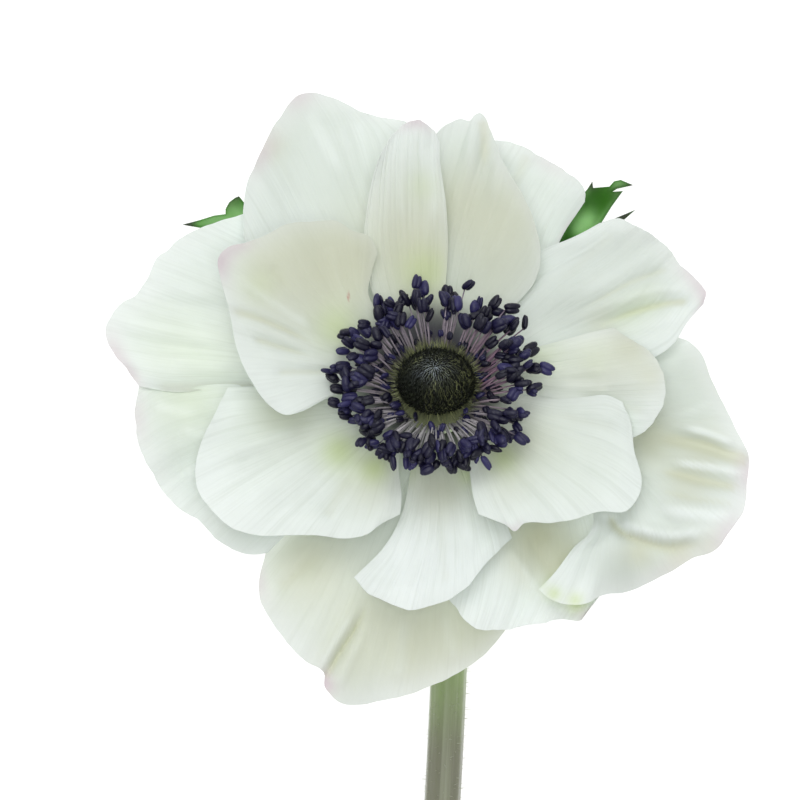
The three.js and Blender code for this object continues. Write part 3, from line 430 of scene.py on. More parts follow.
        node="tepal_right_lower", azimuth=325, level=5, cup=7.5,
        side_one=((3.6, -7.5), (4.5, -12.5), (4.9, -15.2)),
        rim=((5.6, -17.7), (7.5, -18.4), (9.2, -19.1), (10.4, -19.9), (11.7, -18.9), (15.2, -18.8),
            (18.5, -18.3), (21.9, -17.3), (25.1, -17.3), (27.1, -14.8), (27.1, -12.1), (26.3, -9.2),
            (25.9, -5.9), (24.8, -2.8)),
        side_two=((9, -1.9), (15.9, -2.4), (19.2, -2.2), (22.7, -1.9)),
        curls=((0.15, 0.06, 1.4), (0.45, 0.08, -0.6), (0.64, 0.1, -1.6), (0.95, 0.1, 1.4)),
        pleats=((0.35, 0.05, 0.4), (0.6, 0.05, -0.4), (0.8, 0.05, 0.4)),
        ridges=(
            Ridge(1.3, 0.4, ((26, -13.5), (19.5, -10), (13, -6.4))),
            Ridge(1.2, 0.35, ((18, -17.5), (13.5, -13), (9.5, -8.8))),
            Ridge(1.1, -0.3, ((24.5, -6.5), (19, -5.2), (13.5, -3.8))),
        ),
        tints={
            Tone.WARM_SHADE: ((12.5, -8, 4, 0.4), (9.6, -13.4, 3.2, 0.35)), Tone.COOL_SHADE: ((18, -8, 9, 0.4),),
            Tone.GREEN: ((8.8, -10.2, 2.2, 0.5), (18, -9, 11, 0.07)), Tone.PINK: ((10.4, -19.8, 1.4, 0.4),),
        },
    ),
    TepalShape(
        node="tepal_left_inner", azimuth=160, level=6, cup=11,
        side_one=((-6.6, 7.6), (-9, 11.5), (-8.6, 14.5)),
        rim=((-7.8, 17.2), (-8.8, 19.2), (-11.2, 20.1), (-13.2, 21.3), (-16.8, 21.3), (-19.9, 20.9),
            (-23.2, 19.2), (-25.5, 18.4), (-27.6, 17.9), (-28.9, 16.4), (-28.8, 14.1), (-27.7, 10.1),
            (-26.9, 6.1), (-26, 2.8), (-24.5, -0.1), (-22.5, -2.9), (-20, -4.5), (-17.7, -4)),
        side_two=((-8, -0.8), (-13.5, -1.9)), curls=((0.1, 0.08, 1.1), (0.45, 0.06, 1.7), (0.85, 0.1, 1.1)),
        pleats=((0.3, 0.05, 0.5), (0.45, 0.05, -0.5), (0.6, 0.05, 0.5)),
        ridges=(
            Ridge(0.75, -0.7, ((-28.1, 9.6), (-23.5, 8.2), (-19, 6.2), (-14.2, 3.9))),
            Ridge(0.9, 0.45, ((-27, 14), (-22, 10.6), (-18, 7.8), (-13.5, 4.4))),
            Ridge(0.7, -0.6, ((-24.8, 5.7), (-20.5, 4.4), (-15, 2.7))),
            Ridge(0.6, 0.35, ((-26.5, 7.8), (-21, 6), (-15, 3.4))),
            Ridge(0.6, 0.3, ((-23.4, 3.4), (-18.5, 2.6), (-13.5, 1.6))),
            Ridge(0.8, 0.2, ((-20.1, 12.8), (-18, 9.2), (-16.1, 6.1))),
            Ridge(0.8, -0.35, ((-22.5, 15.5), (-19.5, 12), (-16.8, 8))),
            Ridge(1.2, 0.3, ((-14, 18.5), (-12.5, 12), (-10, 7.5))),
            Ridge(0.8, -0.5, ((-22, 1), (-16, 1.2), (-11, 1))),
        ),
        tints={
            Tone.WARM_SHADE: ((-14, 15, 9, 0.9), (-22, 15.5, 6, 0.6), (-10.5, 16, 4.5, 0.7)),
            Tone.COOL_SHADE: ((-12, 18, 6, 0.7), (-19, 4, 8, 0.35), (-23, 13, 7, 0.5), (-20, 9, 6, 0.5),
                (-17, 19.5, 6, 0.7)),
            Tone.GREEN: ((-13.2, 7, 3, 0.42), (-23.5, 12.8, 2.4, 0.14)),
            Tone.PINK: ((-28.6, 15.8, 2.4, 0.8), (-26.5, 18.2, 2, 0.5)),
        },
    ),
)

BRACTS = (
    BractShape(
        node="bract_left", rise=7.9, slope=-0.19, arch=0.8,
        outline=((-3, -6.6), (-3.2, -4), (-6.5, 1.5), (-8.6, 6), (-7, 9.8), (-10.8, 9.4), (-13, 13.4),
            (-10.6, 17.6), (-15.2, 15.8), (-16.6, 18.2), (-15.8, 22.6), (-19.2, 19.6), (-20.8, 20.8),
            (-20.2, 25), (-23.6, 22.8), (-25.6, 23.8), (-26.4, 24.8), (-26.9, 24.6), (-27.7, 24),
            (-28.2, 23.1), (-28.2, 22.4), (-29.8, 22.2), (-31.7, 21.6), (-34, 21), (-31.8, 20.6),
            (-30.1, 20.4), (-27.4, 17.6), (-30.6, 16.4), (-25.6, 14.4), (-21, 10.8), (-14.4, 5.8),
            (-20.2, 7.6), (-25.6, 10.4), (-31.6, 10.8), (-27.2, 8.2), (-29.2, 5.4), (-23.6, 5.4),
            (-24.6, 2.4), (-18.2, 2.8), (-12, -0.8), (-6.4, -5.4)),
        tints={
            LeafTone.PALE: ((-29.5, 21.2, 3, 0.6), (-26.3, 22, 1.6, 0.5)),
            LeafTone.BROWN: ((-33.4, 21, 1.1, 0.9), (-26.6, 24.8, 0.6, 0.8)),
        },
    ),
    BractShape(
        node="bract_right", rise=7.9, slope=-0.19, arch=0.8,
        outline=((3.2, -4), (5.6, 1.6), (7.4, 7), (5.8, 10.6), (9, 10.2), (11, 14.6), (10, 18.6),
            (13.4, 17.4), (15.6, 20.6), (15.6, 24.2), (18.4, 23.4), (20.3, 25.7), (21, 26.8), (21.1, 25.9),
            (23.3, 26.1), (23.9, 26.8), (24.8, 27), (26.5, 26.3), (24.3, 25.8), (23.7, 25.4), (25.1, 25.5),
            (23.5, 23.3), (22.2, 21.2), (19, 17.4), (13.4, 9.8), (18, 12.8), (21.6, 16.8), (23.5, 21.6),
            (26.8, 23), (25.2, 21.6), (24.6, 20.4), (27.6, 19.2), (24.2, 17.2), (21.6, 13.4), (25, 13),
            (20.2, 11), (14, 6), (19.4, 8), (24, 10), (29.4, 10.6), (25.2, 7.6), (26.8, 5), (21.6, 5.2),
            (15.6, 2), (17.2, -0.8), (11, -1.2), (6.2, -5.4), (3, -6.6)),
        tints={
            LeafTone.PALE: ((20.2, 21.3, 1.5, 0.7), (19.3, 20.3, 1, 0.5), (24.6, 26.4, 1, 0.5)),
            LeafTone.DEEP: ((21.8, 24.4, 2.8, 0.95), (17.2, 20.8, 1.3, 0.9), (16, 18.4, 1.4, 0.7)),
            LeafTone.BROWN: ((25.2, 22.3, 1.5, 0.9), (26.3, 26.3, 0.6, 0.8), (20.9, 26.4, 0.6, 0.9)),
        },
    ),
    BractShape(
        node="bract_lower", rise=7.9, slope=0.12, arch=1.2,
        outline=((-2.9, -8.2), (-1.2, -9.9), (-0.8, -13.6), (1.8, -16.2), (-1.2, -17.8), (-1.4, -22),
            (1.4, -25), (-2.2, -25.6), (-2.8, -32.4), (-5.2, -28.6), (-5.8, -20.6), (-7, -26), (-8.8, -35),
            (-10.4, -29.4), (-12.6, -30.6), (-11.2, -25.8), (-9, -18.4), (-12.4, -21.8), (-14.8, -26.2),
            (-18.6, -28.4), (-17.2, -23.4), (-20.2, -21.8), (-15.8, -19.4), (-12.8, -15.2), (-15.6, -12.8),
            (-10.4, -12), (-6.6, -8.4), (-3.6, -6.6)),
    ),
)


# Blender helpers


def deselect_all() -> None:
    """Leaves object mode with nothing selected."""
    if bpy.context.object is not None and bpy.context.object.mode != "OBJECT":
        bpy.ops.object.mode_set(mode="OBJECT")
    bpy.ops.object.select_all(action="DESELECT")


def make_active(piece: Piece) -> None:
    """Selects one object alone and makes it the active one.

    Args:
        piece: the object to select.
    """
    deselect_all()
    piece.select_set(True)
    bpy.context.view_layer.objects.active = piece


@contextmanager
def edit_mode(piece: Piece) -> Iterator[None]:
    """Opens a piece in edit mode with all of it selected, and closes it again.

    Args:
        piece: the object to edit.
    """
    make_active(piece)
    bpy.ops.object.mode_set(mode="EDIT")
    bpy.ops.mesh.select_all(action="SELECT")
    yield
    bpy.ops.object.mode_set(mode="OBJECT")


def named(name: str) -> Piece:
    """Names the shape that was added last.

    Args:
        name: the shape's new name.

    Returns:
        The shape's object.
    """
    shape = bpy.context.object
    shape.name = shape.data.name = name
    return shape


def points_of(mesh: Mesh) -> Array:
    """Reads a mesh's vertices.

    Args:
        mesh: the mesh to read.

    Returns:
        One row of x, y and z for each vertex.
    """
    flat = np.empty(len(mesh.vertices) * 3)
    mesh.vertices.foreach_get("co", flat)
    return flat.reshape(-1, 3)


def set_points(mesh: Mesh, points: Array) -> None:
    """Writes a mesh's vertices.

    Args:
        mesh: the mesh to change.
        points: one row of x, y and z for each vertex, in metres.
    """
    mesh.vertices.foreach_set("co", np.ascontiguousarray(points).ravel())
    mesh.update()


def set_tone(mesh: Mesh, name: str, values: Array | float) -> None:
    """Stores a number on every vertex, for a material to read.

    Args:
        mesh: the mesh to store it on.
        name: the attribute's name.
        values: one number for each vertex, or one for all.
    """
    tone = mesh.attributes.get(name) or mesh.attributes.new(name, "FLOAT", "POINT")
    tone.data.foreach_set("value", np.full(len(mesh.vertices), values, np.float32))


def add_grid(name: str, across: int, along: int) -> Piece:
    """Adds a flat grid whose UV map and corners both run from 0 to 1.

    Args:
        name: the new object's name.
        across: how many faces it has along X.
        along: how many faces it has along Y.

    Returns:
        The grid's object, at the origin.
    """
    deselect_all()
    bpy.ops.mesh.primitive_grid_add(x_subdivisions=across, y_subdivisions=along, size=1)
    grid = named(name)
    grid.data.uv_layers[0].name = UV_NAME
    set_points(grid.data, points_of(grid.data) + (0.5, 0.5, 0.0))
    return grid


def roll_tube(name: str, sides: int, steps: int, merge: float,
              place: Callable[[Array, Array], Array]) -> Piece:
    """Rolls a grid into a closed tube.

    Args:
        name: the new object's name.
        sides: how many faces go round.
        steps: how many faces go along.
        merge: how close points are that become one.
        place: gives the points for an angle round the tube and a share of its length.

    Returns:
        The tube, with its seam merged and its ends filled.
    """
    tube = add_grid(name, sides, steps)
    flat = points_of(tube.data)
    set_points(tube.data, place(flat[:, 0] * math.tau, flat[:, 1]))
    with edit_mode(tube):
        bpy.ops.mesh.remove_doubles(threshold=merge)
        bpy.ops.mesh.fill_holes(sides=0)
        bpy.ops.mesh.select_all(action="SELECT")
        bpy.ops.mesh.normals_make_consistent(inside=False)
    return tube


def small_stalk(name: str, sides: int, radii: Pair, bow: float) -> Piece:
    """Shapes a hair or a filament: a tapering stalk, 1 long on Z, bowed toward X.

    Args:
        name: the new object's name.
        sides: how many faces go round, and along.
        radii: its radius at the foot and at the tip.
        bow: how far its middle stands out.

    Returns:
        The stalk.
    """
    def place(angle: Array, along: Array) -> Array:
        """Places the stalk's points round its bowed axis.

        Args:
            angle: where they are round it.
            along: how far up it they are, from 0 to 1.

        Returns:
            The points.
        """
        radius = radii[0] + (radii[1] - radii[0]) * along
        bend = bow * np.sin(math.pi * along)
        return np.column_stack([radius * np.cos(angle) + bend, radius * np.sin(angle), along])

    return roll_tube(name, sides, sides, 1e-5, place)


def apply_modifier(piece: Piece, kind: str, **settings: object) -> None:
    """Adds a modifier to a piece, sets it and applies it.

    Args:
        piece: the object to change.
        kind: the modifier's type.
        settings: values for the modifier's own properties.
    """
    make_active(piece)
    modifier = piece.modifiers.new(kind.title(), kind)
    for key, value in settings.items():
        setattr(modifier, key, value)
    bpy.ops.object.modifier_apply(modifier=modifier.name)


def thicken(blade: Piece, weights: Array, thickness: float, thin_share: float,
            *materials: Material) -> None:
    """Turns a flat blade into a solid one, thinner where its weights are low and above the surface.

    Args:
        blade: the blade, as one layer of faces.
        weights: how thick it is at each vertex, from 0 to 1.
        thickness: its thickness in millimetres where the weight is 1.
        thin_share: the share of the thickness that is left where the weight is 0.
        materials: the front's material, and the back's where it has one of its own.
    """
    body = blade.vertex_groups.new(name="body")
    for index, weight in enumerate(weights):
        body.add([index], float(weight), "REPLACE")
    for material in materials:
        blade.data.materials.append(material)
    apply_modifier(blade, "SOLIDIFY", thickness=thickness * MM, offset=0.0, vertex_group="body",
                   thickness_vertex_group=thin_share, material_offset=len(materials) - 1)
    blade.vertex_groups.clear()
    solid = points_of(blade.data)
    solid[:, 2] = np.maximum(solid[:, 2], 0.0)
    set_points(blade.data, solid)


def join_copies(
    name: str,
    master: Piece,
    places: Iterable[tuple[Matrix, dict[str, float]]],
) -> Piece:
    """Copies a small shape to many places and joins the copies into one piece.

    Args:
        name: the joined piece's name.
        master: the shape to copy, which is removed at the end.
        places: where each copy goes, with the tones that it carries.

    Returns:
        The joined piece, at the origin.
    """
    copies = []
    for matrix, tones in places:
        copy = bpy.data.objects.new(name, master.data.copy())
        copy.data.transform(matrix)
        for tone, value in tones.items():
            set_tone(copy.data, tone, value)
        bpy.context.collection.objects.link(copy)
        copies.append(copy)
    deselect_all()
    for copy in copies:
        copy.select_set(True)
    bpy.context.view_layer.objects.active = copies[0]
    bpy.ops.object.join()
    bpy.data.objects.remove(master)
    joined = copies[0]
    joined.name = joined.data.name = name
    return joined


def hand_over(piece: Piece, slot: Slot, *nodes: str, sharp: float = 60.0,
              material: Material | None = None) -> None:
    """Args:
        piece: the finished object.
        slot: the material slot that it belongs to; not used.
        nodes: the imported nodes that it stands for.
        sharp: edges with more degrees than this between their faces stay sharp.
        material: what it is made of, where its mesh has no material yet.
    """
    if material is not None:
        piece.data.materials.append(material)
    make_active(piece)
    bpy.ops.object.shade_smooth_by_angle(angle=math.radians(sharp))
    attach(piece, BODY)
    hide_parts(*nodes)
    LOG.info("%s: %d faces for %s", piece.name, len(piece.data.polygons), ", ".join(nodes))


# Curves of the plan


def smooth_curve(corners: Sequence[Sequence[float]]) -> Array:
    """Draws a centripetal Catmull-Rom curve.

    Args:
        corners: the points that the curve goes through.

    Returns:
        The curve as a dense polyline.
    """
    knots = np.asarray(corners, float)
    ends = np.vstack([2 * knots[0] - knots[1], knots, 2 * knots[-1] - knots[-2]])
    step = np.linspace(0, 1, SPAN_STEPS, endpoint=False)[:, None]
    spans = []
    for before, here, there, after in zip(ends, ends[1:], ends[2:], ends[3:]):
        first = np.linalg.norm(here - before) ** 0.5
        middle = np.linalg.norm(there - here) ** 0.5
        last = np.linalg.norm(after - there) ** 0.5
        leave = (here - before) / first - (there - before) / (first + middle) + (there - here) / middle
        arrive = (there - here) / middle - (after - here) / (middle + last) + (after - there) / last
        leave, arrive, gap = leave * middle, arrive * middle, there - here
        spans.append(here + leave * step + (3 * gap - 2 * leave - arrive) * step**2
                     + (leave + arrive - 2 * gap) * step**3)
    return np.vstack([*spans, knots[-1:]])


def along_curve(curve: Array, share: Array) -> Array:
    """Finds points at shares of a polyline's length.

    Args:
        curve: the polyline's points.
        share: numbers from 0 to 1, in an array of any shape.

    Returns:
        The points, with their coordinates on a last axis.
    """
    lengths = np.linalg.norm(np.diff(curve, axis=0), axis=1)
    travelled = np.concatenate([[0.0], np.cumsum(lengths)])
    wanted = np.asarray(share) * travelled[-1]
    return np.stack([np.interp(wanted, travelled, column) for column in curve.T], axis=-1)


def bump(value: Array, centre: float, width: float) -> Array:
    """A smooth hill of height 1."""
    return np.exp(-(((value - centre) / width) ** 2))


def ramp(value: Array | float, low: float, high: float) -> Array:
    """A smooth step from 0 at low to 1 at high."""
    share = np.clip((value - low) / (high - low), 0, 1)
    return share * share * (3 - 2 * share)


def crease(ridge: Ridge, x: Array, y: Array) -> Array:
    """Works out a ridge's height over the plan.

    Args:
        ridge: the ridge's half width, height and line.
        x: plan coordinates across the picture.
        y: plan coordinates up the picture.

    Returns:
        The height at each point, fading out at the line's two ends.
    """
    fade_in, fade_out = 0.15, 0.4
    line = smooth_curve(ridge.line)
    nearest = np.full(x.shape, np.inf)
    share = np.zeros(x.shape)
    for (x0, y0), place in zip(line, np.linspace(0, 1, len(line))):
        distance = np.hypot(x - x0, y - y0)
        closer = distance < nearest
        nearest = np.where(closer, distance, nearest)
        share = np.where(closer, place, share)
    fade = ramp(share, 0.0, fade_in) * ramp(1 - share, 0.0, fade_out)
    return ridge.height * bump(nearest, 0.0, ridge.width) * fade


def tint_strength(patches: Iterable[Patch], x: Array, y: Array) -> Array:
    """Works out how strong a colour is over the plan.

    Args:
        patches: the patches of that colour.
        x: plan coordinates across the picture.
        y: plan coordinates up the picture.

    Returns:
        The strength at each point, from 0 to 1.
    """
    strength = np.zeros_like(x)
    for centre_x, centre_y, radius, most in patches:
        away = ((x - centre_x) ** 2 + (y - centre_y) ** 2) / radius**2
        strength = 1 - (1 - strength) * (1 - most * np.exp(-away))
    return strength


@dataclass(frozen=True)
class BloomFrame:
    """Where the bloom's own frame stands in the part's frame."""

    tilt: float = math.radians(25)
    height: float = 18.4
    setback: float = 1.8
    shift: Triple = (1.2, 47.7, 0.0)

    def plan(self, points: Array) -> Array:
        """Leaves the bloom's frame.

        Args:
            points: places in the bloom's frame.

        Returns:
            Their plan coordinates, with heights.
        """
        x, y, z = np.moveaxis(np.asarray(points, float), -1, 0)
        sine, cosine = math.sin(self.tilt), math.cos(self.tilt)
        return np.stack(
            [x, y * cosine + z * sine - self.setback, self.height - y * sine + z * cosine], axis=-1
        )

    def metres(self, plan: Array) -> Array:
        """Turns plan coordinates with heights into the part's frame, in metres."""
        return (plan + np.array(self.shift)) * MM

    def matrix(self) -> Matrix:
        """The bloom's frame, in millimetres, to the part's frame, in metres."""
        centre = Vector(self.metres(self.plan(np.zeros(3))))
        return Matrix.Translation(centre) @ Matrix.Rotation(-self.tilt, 4, "X") @ Matrix.Scale(MM, 4)


@dataclass(frozen=True)
class Receptacle:
    """The stem's flared head, which carries the tepals."""

    length: float = 7.0
    top_radius: float = 4.9
    neck_radius: float = 2.92
    flare: float = 1.5

    def radius(self, share: float) -> float:
        """Gives its radius at a share of its length, from 0 at the top."""
        return self.neck_radius + (self.top_radius - self.neck_radius) * (1 - share) ** self.flare


FRAME = BloomFrame()
RECEPTACLE = Receptacle()


def aim(start: Vector, stop: Vector, thickness: float, side: Vector) -> Matrix:
    """Places a shape that is 1 long on Z between two points.

    Args:
        start: where the shape's foot goes.
        stop: where its tip goes.
        thickness: its scale across.
        side: the direction that its X leans towards.

    Returns:
        The matrix for that place.
    """
    axis = stop - start
    length = axis.length
    axis.normalize()
    right = (side - axis * side.dot(axis)).normalized()
    ahead = axis.cross(right)
    turn = Matrix((right, ahead, axis)).transposed().to_4x4()
    return Matrix.Translation(start) @ turn @ Matrix.Diagonal((thickness, thickness, length, 1.0))


# Materials


def linear(red: int, green: int, blue: int) -> Colour:
    """Turns a screen colour of 0 to 255 into the shader's linear colour."""
    shares = (value / 255 for value in (red, green, blue))
    return (*(s / 12.92 if s <= 0.04045 else ((s + 0.055) / 1.055) ** 2.4 for s in shares), 1.0)


class Bench:
    """Lays out the nodes of one material and links them."""

    def __init__(self, name: str) -> None:
        """Starts a material that holds only its shader.

        Args:
            name: the material's name.
        """
        self.material = bpy.data.materials.new(name)
        self.material.use_nodes = True
        self.tree = self.material.node_tree
        self.shader = self.tree.nodes["Principled BSDF"]

    def node(self, kind: str, **settings: object) -> bpy.types.Node:
        """Adds a node.

        Args:
            kind: the node's type, without the words that all types share.
            settings: values for the node's own properties.

        Returns:
            The new node.
        """
        node = self.tree.nodes.new(f"ShaderNode{kind}")
        for key, value in settings.items():
            setattr(node, key, value)
        return node

    def feed(self, target: Socket, source: Socket | float | Colour | Triple) -> None:
        """Links a socket to another one, or sets it.

        Args:
            target: the socket that is fed.
            source: the socket that feeds it, or a plain value.
        """
        if isinstance(source, bpy.types.NodeSocket):
            self.tree.links.new(source, target)
        else:
            target.default_value = source

    def tone(self, name: str) -> Socket:
        """Reads a number that is stored on the vertices."""
        return self.node("Attribute", attribute_name=name).outputs["Fac"]

    def noise(self, scale: float | Triple, uv: bool = False, detail: float = 2.0, rough: float = 0.5,
              seed: Socket | float = 0.0, warp: float = 0.0) -> Socket:
        """Adds a noise pattern.

        Args:
            scale: how fine it is along each coordinate, or along all three.
            uv: whether it follows the UV map, instead of Object coordinates in metres.
            detail: how many finer layers it has.
            rough: how strong the finer layers are.
            seed: which of the endless patterns it is.
            warp: how distorted it is.

        Returns:
            Its value, from 0 to 1.
        """
        mapping = self.node("Mapping")
        self.feed(mapping.inputs["Vector"], self.node("TexCoord").outputs["UV" if uv else "Object"])
        self.feed(mapping.inputs["Scale"], scale if isinstance(scale, tuple) else (scale,) * 3)
        noise = self.node("TexNoise", noise_dimensions="4D")
        values = {"Vector": mapping.outputs["Vector"], "W": seed, "Scale": 1.0, "Detail": detail,
                  "Roughness": rough, "Distortion": warp}
        for key, value in values.items():
            self.feed(noise.inputs[key], value)
        return noise.outputs[0]

    def remap(self, value: Socket, low: float, high: float, most: float = 1.0) -> Socket:
        """Turns a range of values smoothly into shares from 0.

        Args:
            value: the values.
            low: where the range starts.
            high: where it stops.
            most: the share that high turns into.

        Returns:
            The shares.
        """
        remap = self.node("MapRange", interpolation_type="SMOOTHSTEP")
        for key, source in (("Value", value), ("From Min", low), ("From Max", high), ("To Max", most)):
            self.feed(remap.inputs[key], source)
        return remap.outputs["Result"]

    def product(self, first: Socket, second: Socket) -> Socket:
        """Multiplies two values.

        Args:
            first: the one value.
            second: the other value.

        Returns:
            Their product.
        """
        node = self.node("Math", operation="MULTIPLY")
        self.feed(node.inputs[0], first)
        self.feed(node.inputs[1], second)
        return node.outputs[0]

    def layered(self, colour: Colour, *layers: tuple[Socket, Colour]) -> Socket | Colour:
        """Lays colours over one another.

        Args:
            colour: the colour underneath.
            layers: how strong each layer is, with its colour, from the lowest layer up.

        Returns:
            The colour that is seen.
        """
        for share, over in layers:
            mix = self.node("Mix", data_type="RGBA")
            for index, value in ((0, share), (6, colour), (7, over)):
                self.feed(mix.inputs[index], value)
            colour = mix.outputs[2]
        return colour

    def bump(self, height: Socket, distance: float, strength: float = 1.0) -> None:
        """Gives the shader's normal a bump, on top of what it has.

        Args:
            height: the pattern that stands out.
            distance: how far it stands out, in metres.
            strength: how much of that shows.
        """
        bump_node = self.node("Bump")
        self.feed(bump_node.inputs["Height"], height)
        self.feed(bump_node.inputs["Distance"], distance)
        self.feed(bump_node.inputs["Strength"], strength)
        links = self.shader.inputs["Normal"].links
        if links:
            self.feed(bump_node.inputs["Normal"], links[0].from_socket)
        self.feed(self.shader.inputs["Normal"], bump_node.outputs["Normal"])

    def set(self, **values: Socket | float | Colour | Triple) -> None:
        """Sets shader sockets, each named by its words with underscores."""
        for key, value in values.items():
            self.feed(self.shader.inputs[key.replace("_", " ")], value)


@dataclass(frozen=True)
class TepalFinish:
    """White petal tissue with fine veins that fan out from the base, with painted warm and cool shade and a
    darker heart that is partly painted shade.
    """

    face: Face
    ivory: Colour = linear(243, 250, 246)
    # warm and cool are the colours of painted shade; warm also colours the back's veins, and cool the
    # front's veins, clouding and fibres
    warm: Colour = linear(206, 208, 186)
    cool: Colour = linear(208, 215, 207)
    green: Colour = linear(196, 216, 132)
    pink: Colour = linear(203, 180, 191)
    # the heart's dark mauve: partly painted shade under the stamens, partly the tissue's own darker base
    heart_dusk_and_shade: Colour = linear(62, 58, 74)
    mark: Colour = linear(176, 52, 60)
    vein_depth: float = 0.00012

    def make(self) -> Material:
        """Builds the material.

        Returns:
            The material, which reads the tones that Tepal stores.
        """
        bench = Bench(f"tepal_{self.face.value}")
        seed = bench.tone("grain")
        veins = bench.noise((34, 1.6, 1), uv=True, detail=3, rough=0.6, seed=seed, warp=0.3)
        fibres = bench.noise((120, 4, 1), uv=True, seed=seed)
        cloud = bench.noise(90, detail=3, seed=seed)
        cells = bench.noise(2600)
        line, line_most = (self.warm, 0.5) if self.face is Face.BACK else (self.cool, 0.25)
        colour = bench.layered(
            self.ivory,
            (bench.remap(veins, 0.5, 0.68, line_most), line),
            (bench.remap(cloud, 0.4, 0.75, 0.3), self.cool),
            (bench.remap(fibres, 0.45, 0.75, 0.18), self.cool),
            # Painted shade: the cool and warm patches, then the darker heart, which is partly painted shade
            # under the stamens.
            (bench.tone(Tone.COOL_SHADE.value), self.cool),
            (bench.tone(Tone.WARM_SHADE.value), self.warm),
            (bench.tone(Tone.GREEN.value), self.green),
            (bench.tone(Tone.PINK.value), self.pink),
            (bench.tone("heart_dusk_and_shade"), self.heart_dusk_and_shade),
            (bench.tone("mark"), self.mark),
        )
        bench.set(Base_Color=colour, Roughness=0.62, Subsurface_Weight=0.3, Subsurface_Scale=0.001,
                  Subsurface_Radius=(1.0, 1.0, 0.9), Specular_IOR_Level=0.25, Sheen_Weight=0.08)
        bench.bump(veins, self.vein_depth, 0.8)
        bench.bump(fibres, self.vein_depth / 3, 0.6)
        bench.bump(cells, self.vein_depth / 8, 0.4)
        return bench.material


@dataclass(frozen=True)
class LeafFinish:
    """Cut green bract, with pale ribs, dark margins and browned tips."""

    green: Colour = linear(68, 134, 32)
    deep: Colour = linear(40, 92, 12)
    light: Colour = linear(156, 208, 136)
    tip: Colour = linear(62, 60, 56)

    def make(self) -> Material:
        """Builds the material.

        Returns:
            The material, which reads the tones that Bract stores.
        """
        bench = Bench("bract_leaf")
        patch = bench.noise(260, detail=3, rough=0.6)
        cells = bench.noise(1900)
        colour = bench.layered(
            self.green,
            (bench.remap(patch, 0.35, 0.65), self.deep),
            (bench.tone(LeafTone.DEEP.value), self.deep),
            (bench.tone("rib"), self.light),
            (bench.tone(LeafTone.PALE.value), self.light),
            (bench.tone("edge"), self.deep),
            (bench.tone("tip"), self.tip),
            (bench.tone(LeafTone.BROWN.value), self.tip),
        )
        bench.set(Base_Color=colour, Roughness=0.5, Subsurface_Weight=0.15, Subsurface_Scale=0.0008,
                  Subsurface_Radius=(0.6, 1.0, 0.3), Specular_IOR_Level=0.15)
        bench.bump(patch, 0.00015, 0.5)
        bench.bump(cells, 0.00004, 0.5)
        return bench.material


@dataclass(frozen=True)
class StemFinish:
    """Ribbed stem, green below the bloom and grey-brown further down."""

    green: Colour = linear(158, 184, 122)
    pale: Colour = linear(206, 214, 188)
    brown: Colour = linear(122, 120, 104)
    cut: Colour = linear(206, 206, 176)

    def make(self) -> Material:
        """Builds the material.

        Returns:
            The material, which reads the tones that Stem stores.
        """
        bench = Bench("stem_skin")
        streaks = bench.noise((16, 3, 1), uv=True, detail=3, rough=0.6)
        cells = bench.noise((1500, 700, 1500))
        colour = bench.layered(
            self.green,
            (bench.tone("browning"), self.brown),
            (bench.remap(bench.noise((140, 60, 140), detail=3), 0.4, 0.7, 0.45), self.brown),
            (bench.remap(streaks, 0.45, 0.7, 0.25), self.pale),
            (bench.tone("cut"), self.cut),
        )
        bench.set(Base_Color=colour, Roughness=0.55, Subsurface_Weight=0.2, Subsurface_Scale=0.001,
                  Subsurface_Radius=(0.8, 1.0, 0.5), Specular_IOR_Level=0.35, Sheen_Weight=0.5)
        bench.bump(streaks, 0.0002, 0.6)
        bench.bump(cells, 0.00005, 0.5)
        return bench.material


@dataclass(frozen=True)
class TissueFinish:
    """Small parts of the centre, whose colour runs between two ends by a stored tone."""

    name: str
    first: Colour
    second: Colour
    speck: Colour
    # glint: the colour of a painted highlight, laid on where the glint tone is stored
    glint: Colour = linear(150, 170, 168)
    grain: float = 2200.0
    relief: float = 0.00006
    roughness: float = 0.6
    sheen: float = 0.15
    specular: float = 0.35

    def make(self) -> Material:
        """Builds the material.

        Returns:
            The material, which reads the tones tone and glint.
        """
        bench = Bench(self.name)
        grain = bench.noise(self.grain, detail=3, rough=0.6)
        colour = bench.layered(
            self.first,
            (bench.tone("tone"), self.second),
            (bench.tone("glint"), self.glint),
            (bench.remap(grain, 0.5, 0.8, 0.5), self.speck),
        )
        bench.set(Base_Color=colour, Roughness=self.roughness, Sheen_Weight=self.sheen,
                  Specular_IOR_Level=self.specular)
        bench.bump(grain, self.relief, 0.7)
        return bench.material


@dataclass(frozen=True)
class FilamentFinish:
    """Thin stalks that run from yellow-green at the disc to mauve-grey."""

    foot: Colour = linear(122, 128, 84)
    mauve: Colour = linear(180, 168, 178)
    dark: Colour = linear(50, 46, 68)
    rose: Colour = linear(172, 138, 158)
    white: Colour = linear(210, 208, 208)

    def make(self) -> Material:
        """Builds the material.

        Returns:
            The material, which reads the tones that Stamens stores.
        """
        bench = Bench("filament_skin")
        grain = bench.noise(1500)
        place = bench.tone("tone")
        colour = bench.layered(
            self.foot,
            (bench.remap(place, 0.14, 0.5), self.mauve),
            (bench.product(bench.tone("flush"), bench.remap(place, 0.1, 0.4)), self.rose),
            (bench.tone("pale"), self.white),
            # A dark tone for each filament: painted shade on the inner ones, a random dark tone on the
            # others.
            (bench.tone("inner_shade_and_dark_tone"), self.dark),
            (bench.remap(place, 0.8, 1.0, 0.8), self.dark),
            (bench.remap(grain, 0.5, 0.75, 0.5), self.dark),
        )
        bench.set(Base_Color=colour, Roughness=0.45, Specular_IOR_Level=0.4)
        bench.bump(grain, 0.00003, 0.5)
        return bench.material


